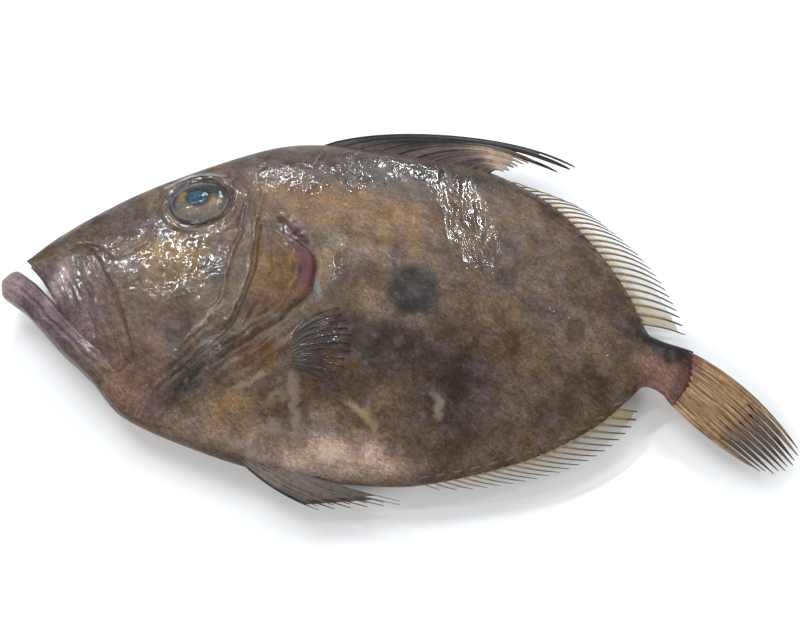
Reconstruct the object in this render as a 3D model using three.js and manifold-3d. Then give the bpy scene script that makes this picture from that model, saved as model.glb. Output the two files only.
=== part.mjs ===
// A whole raw john dory, lying on its right side with its mouth a little open.
//
// The frame is in millimetres. X runs along the fish from head to tail, Y towards its back and Z up, out of
// its left flank. The origin is on the table, under the middle of the body, where the right flank lies flat.
//
// The fish is one piece of flesh, bone and fin, so it is one solid: a thin deep body, the lower jaw, the bony
// plates of the head and every fin are fused, and the mouth and the two eye sockets are cut out. Each eyeball
// is a solid of its own, set in its socket with a hair of clearance.

import * as THREE from "three";
import { mergeVertices } from "three/addons/utils/BufferGeometryUtils.js";
import Module from "manifold-3d";

const wasm = await Module();
wasm.setup();

// ---------------------------------------------------------------- driving dimensions

const MIDPLANE = 20; // height of the fish's plane of symmetry over the table
const SNOUT_X = -194; // tip of the upper jaw
const TAIL_BASE_X = 178; // where the tail's flesh ends and its fin begins
const CHIN_X = -204; // tip of the open lower jaw
const JAW_HINGE_X = -96; // where the lower jaw has run into the throat
const GILL_X = -31; // rearmost point of the gill cover
const EYE_CLEARANCE = 0.3; // gap between an eyeball and its socket

const UPPER = 1; // the left flank, which faces up
const UNDER = -1; // the right flank, which lies on the table

// Outlines of the body seen from the side: [x, y], read as a smooth line over x.
const BACK = [
  [SNOUT_X, -5], [-188, 3], [-172, 21], [-142, 47], [-101, 74], [-69, 91], [-40, 97.5], [0, 98.5],
  [47, 97], [75, 88.5], [98, 76], [122, 54.5], [141, 31], [149, 17], [154, 10.5], [TAIL_BASE_X, 5.5],
];
const KEEL = [
  [SNOUT_X, -5], [-183, -14], [-171, -27], [-157, -44], [-140, -58], [-131, -64], [-122, -80], [-112, -86],
  [-74, -95], [-41, -99.5], [0, -99.5], [33, -96], [53, -90], [83, -77.5], [108, -63.5], [132, -44.5],
  [147, -27], [153, -19.5], [165, -21], [TAIL_BASE_X, -28],
];
// Half of the body's thickness at its thickest, at each [x].
const HALF_THICKNESS = [
  [SNOUT_X, 4.5], [-185, 8], [-170, 11.5], [-150, 14], [-125, 16.8], [-95, 19.5], [-55, 21.7], [-10, 21.7],
  [30, 20.3], [65, 17], [100, 12.5], [130, 8.3], [150, 6.2], [165, 5.2], [TAIL_BASE_X, 2.6],
];
// How the thickness falls off towards the back and the keel: small is a blunt edge, large is a sharp one.
const BACK_SHARPNESS = [[SNOUT_X, 0.7], [-120, 0.75], [-60, 1], [40, 1.35], [TAIL_BASE_X, 0.9]];
const KEEL_SHARPNESS = [[SNOUT_X, 0.4], [-150, 0.4], [-105, 0.9], [-40, 1.1], [60, 1.35], [TAIL_BASE_X, 0.9]];

const JAW_TOP = [
  [CHIN_X, -17], [-200, -12], [-196, -11], [-182, -17], [-165, -30], [-140, -47], [JAW_HINGE_X, -58],
];
const JAW_FLOOR = [
  [CHIN_X, -20], [-202, -26], [-198, -28.5], [-186, -34.5], [-165, -50.5], [-142, -65.5], [-125, -80],
  [-112, -85], [JAW_HINGE_X, -82],
];
const JAW_HALF_THICKNESS = [
  [CHIN_X, 4], [-199, 7.5], [-180, 10.5], [-150, 13], [-132, 12.5], [-118, 10], [JAW_HINGE_X, 5],
];
const JAW_SHARPNESS = [[CHIN_X, 0.6], [-150, 0.5], [-120, 0.8], [JAW_HINGE_X, 1]];

// ---------------------------------------------------------------- reading an outline

// A smooth line through [x, value] stations, with each station's slope taken from its two neighbours.
function smoothLine(stations) {
  const last = stations.length - 1;
  const slope = (i) => {
    const [xa, va] = stations[Math.max(i - 1, 0)];
    const [xb, vb] = stations[Math.min(i + 1, last)];
    return (vb - va) / (xb - xa);
  };
  return (x) => {
    if (x <= stations[0][0]) return stations[0][1];
    if (x >= stations[last][0]) return stations[last][1];
    const i = stations.findIndex(([sx]) => sx > x) - 1;
    const [x0, v0] = stations[i];
    const [x1, v1] = stations[i + 1];
    const width = x1 - x0;
    const t = (x - x0) / width;
    const rise = (3 - 2 * t) * t * t;
    return v0 + (v1 - v0) * rise + width * (slope(i) * t * (1 - t) ** 2 - slope(i + 1) * t * t * (1 - t));
  };
}

const mix = THREE.MathUtils.lerp;
const smoothstep = THREE.MathUtils.smoothstep;
const toRadians = THREE.MathUtils.degToRad;

// The form of a flattened body with a top line, a bottom line and a thickness, all read over x. shift(x, y)
// says how far a point is moved along x in the end.
function flankForm(top, bottom, halfThickness, topSharpness, bottomSharpness, shift = () => 0) {
  const [topLine, bottomLine] = [smoothLine(top), smoothLine(bottom)];
  const thickest = smoothLine(halfThickness);
  const [topEdge, bottomEdge] = [smoothLine(topSharpness), smoothLine(bottomSharpness)];
  // How far the skin is from the midplane, where share runs from -1 at the bottom line to 1 at the top.
  const standOut = (x, share) => {
    const sharpness = share > 0 ? topEdge(x) : bottomEdge(x);
    return thickest(x) * Math.max(1 - share * share, 0) ** (sharpness / 2);
  };
  return {
    topLine,
    bottomLine,
    standOut,
    shift,
    at: (x, share) => mix(bottomLine(x), topLine(x), (share + 1) / 2),
    thicknessAt: (x, y) => {
      const half = (topLine(x) - bottomLine(x)) / 2;
      const share = (y - bottomLine(x)) / half - 1;
      return standOut(x, THREE.MathUtils.clamp(share, -1, 1));
    },
  };
}

// The tail's flesh ends in a slanting curve: its upper corner reaches back over the fin, but its lower one
// doesn't.
function tailSlant(x, y) {
  const [upperReach, lowerRetreat] = [4, 11];
  const down = (5.5 - y) / 33.5;
  return smoothstep(x, 150, TAIL_BASE_X) * (upperReach - lowerRetreat * down ** 2);
}

const body = flankForm(BACK, KEEL, HALF_THICKNESS, BACK_SHARPNESS, KEEL_SHARPNESS, tailSlant);
const jaw = flankForm(JAW_TOP, JAW_FLOOR, JAW_HALF_THICKNESS, JAW_SHARPNESS, JAW_SHARPNESS);

// ---------------------------------------------------------------- making solids

// Moves every vertex of a closed three.js geometry to place(vertex).
function reshape(geometry, place) {
  const positions = geometry.getAttribute("position");
  const vertex = new THREE.Vector3();
  for (let i = 0; i < positions.count; i += 1) {
    const placed = place(vertex.fromBufferAttribute(positions, i));
    positions.setXYZ(i, placed.x, placed.y, placed.z);
  }
  return geometry;
}

// A closed geometry as a solid that can be fused and cut. Reshaping can turn one inside out, as a mirror
// does, and then every triangle is turned over.
function solid(geometry) {
  const bare = new THREE.BufferGeometry();
  bare.setAttribute("position", geometry.getAttribute("position").clone());
  bare.setIndex(geometry.index.clone());
  const merged = mergeVertices(bare, 1e-4);
  const triVerts = new Uint32Array(merged.index.array);
  const vertProperties = merged.getAttribute("position").array;
  const shape = new wasm.Manifold(new wasm.Mesh({ numProp: 3, vertProperties, triVerts }));
  if (shape.volume() > 0) return shape;
  triVerts.reverse();
  return new wasm.Manifold(new wasm.Mesh({ numProp: 3, vertProperties, triVerts }));
}

const fuse = (solids) => solids.reduce((whole, piece) => whole.add(piece));

function meshOf(name, shape, material) {
  const { vertProperties, triVerts } = shape.getMesh();
  const geometry = new THREE.BufferGeometry();
  geometry.setAttribute("position", new THREE.Float32BufferAttribute(vertProperties, 3));
  geometry.setIndex(new THREE.Uint32BufferAttribute(triVerts, 1));
  geometry.computeVertexNormals();
  const mesh = new THREE.Mesh(geometry, material);
  mesh.name = name;
  return mesh;
}

// A flattened body: a sphere's grid, with its poles at the two ends and its rings drawn out to the form.
function loft(form, startX, endX, around, along, crowding) {
  return solid(
    reshape(new THREE.SphereGeometry(1, around, along), ({ x, y, z }) => {
      const travel = Math.acos(THREE.MathUtils.clamp(y, -1, 1)) / Math.PI;
      const stationX = mix(startX, endX, travel ** crowding);
      const turn = Math.atan2(z, x);
      const spread = 1 - (2 * Math.abs(turn)) / Math.PI;
      const share = mix(Math.cos(turn), spread, 0.5);
      const atPole = Math.hypot(x, z) < 1e-6;
      const height = atPole ? form.at(stationX, 0) : form.at(stationX, share);
      const out = atPole ? 0 : Math.sign(turn) * form.standOut(stationX, share);
      return new THREE.Vector3(stationX + form.shift(stationX, height), height, MIDPLANE + out);
    }),
  );
}

// A sheet over two parameters u and v from 0 to 1: place(u, v, side) puts its two faces, side 1 and -1.
function sheet(cellsU, cellsV, place) {
  const box = new THREE.BoxGeometry(1, 1, 1, cellsU, cellsV, 1);
  return solid(reshape(box, ({ x, y, z }) => place(x + 0.5, y + 0.5, Math.sign(z))));
}

const point = (x, y, z) => new THREE.Vector3(x, y, z);

// A bent ray's centreline: it leaves its root on one heading, in degrees, and turns steadily to another.
function bentRay(root, length, rootHeading, tipHeading, drop) {
  const [a, b] = [toRadians(rootHeading), toRadians(tipHeading)];
  const knee = root.clone().add(point(Math.cos(a), Math.sin(a), 0).multiplyScalar(length / 2));
  const tip = knee.clone().add(point(Math.cos(b), Math.sin(b), 0).multiplyScalar(length / 2));
  tip.z -= drop;
  return new THREE.QuadraticBezierCurve3(root, knee, tip);
}

// A fin: each ray is a ridge that tapers to a free tip, and thin skin between neighbours ends in a notch.
// notch(share) says how far along the rays the skin reaches, and share runs from the first ray to the last.
function raySheet(rays, { rootRadius, tipRadius, skinThickness, notch, steps }) {
  const columns = 2 * (rays.length - 1);
  return sheet(columns, steps, (u, v, side) => {
    const column = Math.round(u * columns);
    const [before, after] = [rays[Math.floor(column / 2)], rays[Math.ceil(column / 2)]];
    const onRay = column % 2 === 0;
    const t = onRay ? v : v * notch(u);
    const halfThickness = onRay ? mix(rootRadius, tipRadius, v) : skinThickness / 2;
    return before.getPoint(t).lerp(after.getPoint(t), 0.5).add(point(0, 0, side * halfThickness));
  });
}

// ---------------------------------------------------------------- the bony plates of the head

// A plate that shows on both flanks: it spans the body from a front edge to a rear edge and stands proud of
// the skin. The edges are lists of [x, y] points from top to bottom.
function headPlate(frontEdge, rearEdge, proud, cellsAcross, cellsDown) {
  const [front, rear] = [frontEdge, rearEdge].map(
    (edge) => new THREE.SplineCurve(edge.map(([x, y]) => new THREE.Vector2(x, y))),
  );
  return sheet(cellsAcross, cellsDown, (across, down, side) => {
    const { x, y } = rear.getPoint(1 - down).lerp(front.getPoint(1 - down), 1 - across);
    return point(x, y, MIDPLANE + side * (body.thicknessAt(x, y) + proud));
  });
}

function jawPlate() {
  const lipEdge = [[-187, -7], [-171, -25.5], [-157, -42], [-137, -57.5]];
  const cheekEdge = [[-161, 2], [-149, -6], [-137, -22], [-127, -41], [-122, -56]];
  return headPlate(lipEdge, cheekEdge, 1.9, 4, 7);
}

function cheekRidge() {
  const front = [[-78, 33], [-79.5, 8], [-80, -10], [-85, -25], [-94, -40], [-110, -58]];
  const rear = [[-69, 28], [-67, 3], [-69, -15], [-75, -31], [-88, -49], [-104, -67]];
  return headPlate(front, rear, 1.6, 1, 8);
}

function gillCover() {
  const front = [[-66, 32], [-65, 3], [-67, -15], [-73, -31], [-86, -50], [-104, -70]];
  const rear = [
    [-56, 31], [-43, 23.5], [-33.5, 17], [GILL_X, 3], [-37, -12], [-56, -31.5], [-75, -49.5], [-100, -78],
  ];
  return headPlate(front, rear, 2, 3, 9);
}

// ---------------------------------------------------------------- eyes

const EYE_CENTRE = { x: -104, y: 42, out: 11.7 };
const EYE_HALF_SIZE = { along: 18.5, across: 15.5, out: 7.5 };
const EYE_SLANT = 17; // degrees by which the oval eye climbs towards the tail
const EYE_TILT = 9; // degrees by which it looks towards the back
const EYE_TURN = 6; // degrees by which it looks towards the snout
const RIM_LIFT = 4.6; // height of the orbit's bony rim over the middle of the eyeball

// Turns and moves a shape made around the origin, facing +Z, to the place of one flank's eye.
function placeAtEye(geometry, flank, lift) {
  geometry.rotateZ(toRadians(EYE_SLANT));
  geometry.rotateX(-flank * toRadians(EYE_TILT));
  geometry.rotateY(-flank * toRadians(EYE_TURN));
  return geometry.translate(EYE_CENTRE.x, EYE_CENTRE.y, MIDPLANE + flank * (EYE_CENTRE.out + lift));
}

// One flank's eyeball, grown by extra all round.
function eyeball(flank, extra) {
  const sphere = new THREE.SphereGeometry(1, 16, 10);
  sphere.rotateX(Math.PI / 2);
  sphere.scale(EYE_HALF_SIZE.along + extra, EYE_HALF_SIZE.across + extra, EYE_HALF_SIZE.out + extra);
  return solid(placeAtEye(sphere, flank, 0));
}

function orbitRim(flank) {
  const rim = new THREE.TorusGeometry(1, 0.11, 4, 16);
  rim.scale(EYE_HALF_SIZE.along, EYE_HALF_SIZE.across, 18);
  return solid(placeAtEye(rim, flank, RIM_LIFT));
}

// ---------------------------------------------------------------- the mouth

function mouthCavity() {
  const hollow = new THREE.SphereGeometry(1, 10, 10);
  hollow.scale(50, 7.5, 8);
  hollow.rotateZ(toRadians(-39));
  hollow.translate(-168, -29, MIDPLANE);
  return solid(hollow);
}

// ---------------------------------------------------------------- fins along the back

// The spiny fin is folded down along the back: its three longest spines end in free tips, and the shorter
// ones behind them lie in a brush.
function spinyFin() {
  const spineTips = [
    [101, 106], [98, 103.5], [91, 101],
    [78, 105], [74, 104], [71, 102.5], [68, 101], [66, 99.5], [63.5, 97.5], [60.5, 95.5],
  ];
  const lean = 3; // the folded fin leans up out of the midplane
  const spines = spineTips.map(([tipX, tipY], i) => {
    const share = i / (spineTips.length - 1);
    const rootX = mix(-52, 50, share);
    const root = point(rootX, body.topLine(rootX) - 4, MIDPLANE);
    const tip = point(tipX, tipY, MIDPLANE + lean + (i % 2));
    const rise = point(mix(28, 5, share), mix(23, 4, share), lean);
    const fall = point(mix(-34, -5, share), mix(17, 2, share), 0);
    return new THREE.CubicBezierCurve3(root, root.clone().add(rise), tip.clone().add(fall), tip);
  });
  const notch = () => 0.8;
  return raySheet(spines, { rootRadius: 1.5, tipRadius: 0.4, skinThickness: 1.1, notch, steps: 7 });
}

// The rows of rays further back all leave the body's edge side by side. Each one bends towards the tail.
function rayRow({ count, edge, firstX, lastX, sunk, length, rootHeading, tipHeading, drop, notch }) {
  const rays = Array.from({ length: count }, (_, i) => {
    const share = i / (count - 1);
    const x = mix(firstX, lastX, share);
    const root = point(x, edge(x) - sunk, MIDPLANE);
    return bentRay(root, length(share), rootHeading(share), tipHeading(share), drop);
  });
  return raySheet(rays, { rootRadius: 0.9, tipRadius: 0.3, skinThickness: 0.6, notch, steps: 3 });
}

function softDorsalFin() {
  return rayRow({
    count: 22,
    edge: body.topLine,
    firstX: 62,
    lastX: 147.5,
    sunk: 3,
    length: smoothLine([[0, 14], [0.18, 26], [0.35, 29], [0.55, 34], [0.75, 33], [1, 26]]),
    rootHeading: (share) => mix(23, 4, smoothstep(share, 0.1, 1)),
    tipHeading: smoothLine([[0, -8], [0.4, -20], [0.75, -20], [1, -6]]),
    drop: 4,
    notch: (share) => mix(0.72, 0.86, smoothstep(share, 0.8, 1)),
  });
}

function analFin() {
  return rayRow({
    count: 21,
    edge: body.bottomLine,
    firstX: 40,
    lastX: 139,
    sunk: -3,
    length: (share) => 14 + 17 * Math.sin(Math.PI * share) ** 0.7,
    rootHeading: (share) => mix(-14, 2, share),
    tipHeading: (share) => mix(8, 20, share),
    drop: 7,
    notch: () => 0.8,
  });
}

// Small bony thorns stand in a row on each side of both fin bases, pointing back.
function thorns() {
  const perRow = 6;
  const rows = [
    { edge: body.topLine, inward: -4, firstX: 66, lastX: 143, heading: -20 },
    { edge: body.bottomLine, inward: 4, firstX: 48, lastX: 134, heading: 10 },
  ];
  return rows.flatMap(({ edge, inward, firstX, lastX, heading }) =>
    [UPPER, UNDER].flatMap((flank) =>
      Array.from({ length: perRow }, (_, i) => {
        const x = mix(firstX, lastX, i / (perRow - 1));
        const y = edge(x) + inward;
        const thorn = new THREE.ConeGeometry(1.7, 6, 4);
        thorn.rotateZ(toRadians(heading - 90));
        thorn.rotateY(flank * toRadians(-28));
        thorn.translate(x, y, MIDPLANE + flank * (body.thicknessAt(x, y) + 0.2));
        return solid(thorn);
      }),
    ),
  );
}

// ---------------------------------------------------------------- tail fin

// The tail fin is nearly shut: its rays bulge apart in the middle, part into slits and end in a tight ragged
// bundle.
function tailFin() {
  const rayTips = [
    [240.5, -36], [240.8, -40], [239, -43], [238.6, -46], [235.5, -47], [234.5, -49.5], [231, -50.2],
    [228.5, -52.2], [224, -51.6], [221, -52], [216, -50],
  ];
  const rays = rayTips.map(([tipX, tipY], i) => {
    const share = i / (rayTips.length - 1);
    const root = point(mix(173.5, 166, share), mix(3.2, -23.4, share), MIDPLANE);
    const tip = point(tipX, tipY, MIDPLANE - 12);
    const knee = root.clone().lerp(tip, 0.5);
    knee.add(point(0.5, 0.85, 0).multiplyScalar(mix(12, -8, share)));
    knee.z += 5;
    return new THREE.QuadraticBezierCurve3(root, knee, tip);
  });
  return raySheet(rays, { rootRadius: 1.7, tipRadius: 0.5, skinThickness: 1.3, notch: () => 0.7, steps: 7 });
}

// ---------------------------------------------------------------- paired fins

const PECTORAL_RAYS = 11;
const PECTORAL_POCKET = 0.9; // how deep the under fin is pressed into the flank

// The pectoral fin's fan of rays. skin(x, y) is the height that it lies on.
function pectoralFan(skin, radius) {
  return Array.from({ length: PECTORAL_RAYS }, (_, i) => {
    const share = i / (PECTORAL_RAYS - 1);
    const root = point(mix(-38, -36.5, share), mix(-31.5, -46.5, share), 0);
    const length = mix(34, 26, share) + 5 * Math.sin(Math.PI * share);
    const flat = bentRay(root, length, mix(62, -2, share), mix(22, -10, share), 0);
    const onSkin = [flat.v0, flat.v1, flat.v2].map((p) => point(p.x, p.y, skin(p.x, p.y)));
    onSkin[1].z += radius;
    return new THREE.QuadraticBezierCurve3(...onSkin);
  });
}

function upperPectoral() {
  const rays = pectoralFan((x, y) => MIDPLANE + body.thicknessAt(x, y) + 0.7, 2.6);
  return raySheet(rays, { rootRadius: 1.1, tipRadius: 0.5, skinThickness: 0.9, notch: () => 0.9, steps: 3 });
}

// The other pectoral fin is pressed flat between the flank and the table, in a shallow print of its own.
function underPectoral() {
  const rays = pectoralFan(() => PECTORAL_POCKET / 2, 0);
  return raySheet(rays, { rootRadius: 0.45, tipRadius: 0.4, skinThickness: 0.6, notch: () => 0.9, steps: 3 });
}

function underPectoralPrint() {
  const rays = pectoralFan(() => 0, 0);
  const [first, last] = [rays[0], rays[rays.length - 1]];
  return sheet(PECTORAL_RAYS - 1, 2, (u, v, side) => {
    const at = rays[Math.round(u * (PECTORAL_RAYS - 1))].getPoint(mix(0.04, 0.96, v));
    const spread = first.getPoint(v).y - last.getPoint(v).y;
    const wider = (at.y - last.getPoint(v).y) / spread - 0.5;
    return point(at.x, at.y + 3 * wider, side > 0 ? PECTORAL_POCKET : -1);
  });
}

// The pelvic fins leave the belly behind the gills and lie folded back along the keel.
function pelvicFin(flank) {
  const rayCount = 6;
  const rays = Array.from({ length: rayCount }, (_, i) => {
    const share = i / (rayCount - 1);
    const root = point(mix(-54, -44, 1 - share), mix(-93, -95, share), MIDPLANE + flank * 3.5);
    const tip = point(mix(34, -8, share), mix(-103, -113, share), MIDPLANE + flank * 4 - 5);
    const knee = root.clone().lerp(tip, 0.45).add(point(0, mix(-4, -6, share), flank * 2));
    return new THREE.QuadraticBezierCurve3(root, knee, tip);
  });
  return raySheet(rays, { rootRadius: 1.1, tipRadius: 0.4, skinThickness: 0.9, notch: () => 0.84, steps: 4 });
}

// ---------------------------------------------------------------- the whole fish

function wholeFish() {
  const head = [jawPlate(), cheekRidge(), gillCover(), orbitRim(UPPER), orbitRim(UNDER)];
  const flesh = fuse([
    loft(body, SNOUT_X, TAIL_BASE_X, 36, 48, 1.12),
    loft(jaw, CHIN_X, JAW_HINGE_X, 14, 14, 1.2),
    ...head,
    ...thorns(),
  ]);
  const table = new THREE.BoxGeometry(600, 400, 40);
  table.translate(0, 0, -20);
  const carved = [mouthCavity(), eyeball(UPPER, EYE_CLEARANCE), eyeball(UNDER, EYE_CLEARANCE)].reduce(
    (rest, cutter) => rest.subtract(cutter),
    flesh,
  );
  const fins = [spinyFin(), softDorsalFin(), analFin(), tailFin(), pelvicFin(UPPER), pelvicFin(UNDER)];
  return fuse([carved.subtract(underPectoralPrint()), ...fins, upperPectoral(), underPectoral()]).subtract(
    solid(table),
  );
}

const skin = new THREE.MeshStandardMaterial({ color: 0x66564a, roughness: 0.35, metalness: 0 });
const cornea = new THREE.MeshStandardMaterial({ color: 0x2b3338, roughness: 0.12, metalness: 0 });

const johnDory = new THREE.Group();
johnDory.add(
  meshOf("fish", wholeFish(), skin),
  meshOf("eye_left", eyeball(UPPER, 0), cornea),
  meshOf("eye_right", eyeball(UNDER, 0), cornea),
);

export default johnDory;
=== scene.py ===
import math

import bpy
import numpy as np
from mathutils import Matrix, Vector, noise


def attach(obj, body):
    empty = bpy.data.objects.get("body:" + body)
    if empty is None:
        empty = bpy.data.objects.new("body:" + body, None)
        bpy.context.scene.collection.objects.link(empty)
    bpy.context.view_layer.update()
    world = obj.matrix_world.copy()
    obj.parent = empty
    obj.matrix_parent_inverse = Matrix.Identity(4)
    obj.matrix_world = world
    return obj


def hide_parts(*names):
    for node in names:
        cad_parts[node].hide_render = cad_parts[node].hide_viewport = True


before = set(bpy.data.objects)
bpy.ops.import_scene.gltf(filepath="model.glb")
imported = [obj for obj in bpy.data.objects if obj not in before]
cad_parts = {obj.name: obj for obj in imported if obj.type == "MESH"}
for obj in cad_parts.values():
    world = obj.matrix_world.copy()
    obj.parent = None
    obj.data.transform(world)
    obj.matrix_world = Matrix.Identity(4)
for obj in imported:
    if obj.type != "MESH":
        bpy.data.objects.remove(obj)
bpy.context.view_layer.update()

# ------------------------------------------------------------------------------------------- the studio
# A plain pale table under broad soft light. A few thin lamp tubes hang behind the fish, and their reflections
# break up into bright squiggles on its wet skin. The camera looks steeply down on it.

MM = 0.001


def softbox(name, place, size, watts):
    """A round area light that faces the fish."""
    light = bpy.data.lights.new(name, "AREA")
    light.shape = "DISK"
    light.size = size
    light.energy = watts
    lamp = bpy.data.objects.new(name, light)
    bpy.context.collection.objects.link(lamp)
    lamp.location = place
    lamp.rotation_euler = (-lamp.location).to_track_quat("-Z", "Y").to_euler()


softbox("front_softbox", (-0.30, -1.20, 1.15), 0.8, 13.8)
softbox("right_softbox", (1.25, 0.05, 0.95), 1.0, 3.5)
softbox("left_softbox", (-1.30, 0.25, 0.85), 1.0, 2.5)


def lamp_tube(name, start, end, width, watts):
    """A thin straight area light between two points, which faces the fish."""
    start, end = Vector(start), Vector(end)
    light = bpy.data.lights.new(name, "AREA")
    light.shape = "RECTANGLE"
    light.size, light.size_y = (end - start).length, width
    light.energy = watts
    light.color = (0.90, 0.95, 1.0)
    tube = bpy.data.objects.new(name, light)
    bpy.context.collection.objects.link(tube)
    along = (end - start).normalized()
    away = (start + end) / 2
    away = (away - along * away.dot(along)).normalized()
    across = away.cross(along)
    turned = Matrix((along, across, away)).transposed().to_4x4()
    tube.matrix_world = Matrix.Translation((start + end) / 2) @ turned


lamp_tube("nape_tube", (-0.46, 0.82, 0.60), (-0.16, 0.86, 0.62), 0.008, 2.8)
lamp_tube("flank_tube", (-0.02, 1.05, 0.30), (0.26, 0.58, 0.88), 0.009, 5.4)
lamp_tube("cheek_tube", (-0.26, 0.60, 0.80), (-0.66, 0.28, 0.84), 0.008, 4.6)
lamp_tube("throat_tube", (-0.08, 0.30, 1.02), (-0.42, 0.10, 1.00), 0.008, 1.6)

world = bpy.data.worlds.new("studio")
world.use_nodes = True
background = world.node_tree.nodes["Background"].inputs
background["Color"].default_value = (0.96, 0.98, 1.0, 1)
background["Strength"].default_value = 0.24
bpy.context.scene.world = world
bpy.context.scene.view_settings.view_transform = "Standard"

CAMERA_AT, CAMERA_LOOKS_AT = Vector((0.0627, -0.2713, 0.7019)), Vector((0.0168, -0.0005, 0.0220))
camera_data = bpy.data.cameras.new("camera")
camera_data.lens = 60
camera_data.sensor_width = 36
camera = bpy.data.objects.new("camera", camera_data)
bpy.context.collection.objects.link(camera)
camera.location = CAMERA_AT
camera.rotation_euler = (CAMERA_LOOKS_AT - CAMERA_AT).to_track_quat("-Z", "Y").to_euler()
bpy.context.scene.camera = camera

TABLE_HALF_SIZE, TABLE_TOP = 4, -0.0003
corner_signs = [(-1, -1), (1, -1), (1, 1), (-1, 1)]
table_corners = [(x * TABLE_HALF_SIZE, y * TABLE_HALF_SIZE, TABLE_TOP) for x, y in corner_signs]
table_mesh = bpy.data.meshes.new("table")
table_mesh.from_pydata(table_corners, [], [(0, 1, 2, 3)])
table = bpy.data.objects.new("table", table_mesh)
bpy.context.collection.objects.link(table)
table_paint = bpy.data.materials.new("pale_table")
table_paint.use_nodes = True
paint_inputs = table_paint.node_tree.nodes["Principled BSDF"].inputs
paint_inputs["Base Color"].default_value = (0.90, 0.90, 0.90, 1)
paint_inputs["Roughness"].default_value = 0.8
paint_inputs["Specular IOR Level"].default_value = 0.1
table_mesh.materials.append(table_paint)

# --------------------------------------------------------------------------- the body, head and flanks
# The body is one thin deep form of flesh under a nearly scaleless skin. Bony plates lie just under the skin
# of the head: the upper jaw, the cheek's ridges and the gill cover stand out as relief on both flanks.

MIDPLANE = 20  # height of the fish's plane of symmetry over the table
SNOUT_X, GILL_X, TAIL_BASE_X = -194, -31, 178
BACK = [
    (SNOUT_X, -5), (-188, 3), (-172, 21), (-142, 47), (-101, 74), (-69, 91), (-40, 97.5), (0, 98.5),
    (47, 97), (75, 88.5), (98, 76), (122, 54.5), (141, 31), (149, 17), (154, 10.5), (TAIL_BASE_X, 5.5),
]
KEEL = [
    (SNOUT_X, -5), (-183, -14), (-171, -27), (-157, -44), (-140, -58), (-131, -64), (-122, -80),
    (-112, -86), (-74, -95), (-41, -99.5), (0, -99.5), (33, -96), (53, -90), (83, -77.5), (108, -63.5),
    (132, -44.5), (147, -27), (153, -19.5), (165, -21), (TAIL_BASE_X, -28),
]
HALF_THICKNESS = [
    (SNOUT_X, 4.5), (-185, 8), (-170, 11.5), (-150, 14), (-125, 16.8), (-95, 19.5), (-55, 21.7),
    (-10, 21.7), (30, 20.3), (65, 17), (100, 12.5), (130, 8.3), (150, 6.2), (165, 5.2), (TAIL_BASE_X, 2.6),
]
BACK_SHARPNESS = [(SNOUT_X, 0.7), (-120, 0.75), (-60, 1), (40, 1.35), (TAIL_BASE_X, 0.9)]
KEEL_SHARPNESS = [(SNOUT_X, 0.4), (-150, 0.4), (-105, 0.9), (-40, 1.1), (60, 1.35), (TAIL_BASE_X, 0.9)]

# Landmarks of the head and flank, seen from the side. Paths run from top to bottom.
EYE = (-104, 42)
EYE_HALF_SIZE = (18.5, 15.5)
EYE_MEAN_RADIUS = 17
EYE_SLANT = math.radians(17)
UPPER_JAW = [
    (-190, -6), (-183, -14), (-171, -27), (-157, -43.5), (-146, -53), (-137.5, -60), (-132, -62.5),
    (-125.5, -61), (-121.5, -56), (-122.5, -48.5), (-126.5, -41), (-130.5, -32), (-136, -22.5),
    (-143.5, -12), (-150.5, -3), (-157, 2), (-165, 3), (-178, -1),
]
LIP_SEAM = [(-164, 1), (-157, -15), (-150, -26.5), (-143, -40), (-138, -56)]
JAW_STREAK = [(-150, -12), (-144, -27), (-136, -43), (-131, -55)]
SNOUT_FOLD = [
    (-172, 8), (-163, 8.5), (-152, 7), (-141, 3), (-134, 5.5), (-129.5, 10), (-125.5, 20), (-122, 27),
]
BROW = [(-128, 47), (-117, 56), (-103, 60.5), (-88, 60)]
CHEEK_RIDGE_FRONT = [
    (-85, 59), (-79, 45), (-77.5, 33), (-79, 10), (-78.6, -11), (-83, -24), (-91, -39), (-108, -58),
]
CHEEK_RIDGE_REAR = [
    (-71, 60), (-69.5, 44), (-68.5, 28), (-66, 3), (-68, -15.5), (-73, -31.5), (-87.5, -50), (-103, -67),
    (-107, -80),
]
GILL_COVER = [
    (-66, 32), (-56, 31), (-43, 23.5), (-33.5, 17), (GILL_X, 3), (-37, -12), (-56, -31.5), (-75, -49.5),
    (-103, -80), (-101, -69), (-85, -50), (-71, -31), (-66, -15), (-64, 3),
]
GILL_EDGE = [
    (-56, 31), (-43, 23.5), (-33.5, 17), (GILL_X, 3), (-37, -12), (-56, -31.5), (-75, -49.5), (-104, -81),
]
GILL_SLIT = [(-60, 37), (-54, 35), (-48, 31), (-42.5, 26.5), (-37, 21)]
GILL_BONE = [(-60, 31.5), (-52, 26.5), (-45, 21.5), (-42, 13), (-42.5, 3), (-46, -8)]
JAW_EDGE = [
    (-164, 4), (-156.5, 2.5), (-150.5, -2.5), (-143.5, -12), (-136, -22.5), (-130.5, -32), (-126, -41),
    (-122, -49), (-121, -56), (-125, -61.5), (-132, -63), (-138, -60),
]
THROAT_EDGE = [
    (-106, -78.5), (-96, -68.5), (-85.5, -58), (-76.5, -46.5), (-68.5, -37), (-60.5, -31.5), (-53, -27),
]
LATERAL_LINE = [
    (-62, 56), (-39, 63.5), (-9, 64.8), (16, 59), (46, 43), (75, 21), (97, 5), (126, -7), (150, -9),
    (172, -11),
]


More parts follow.
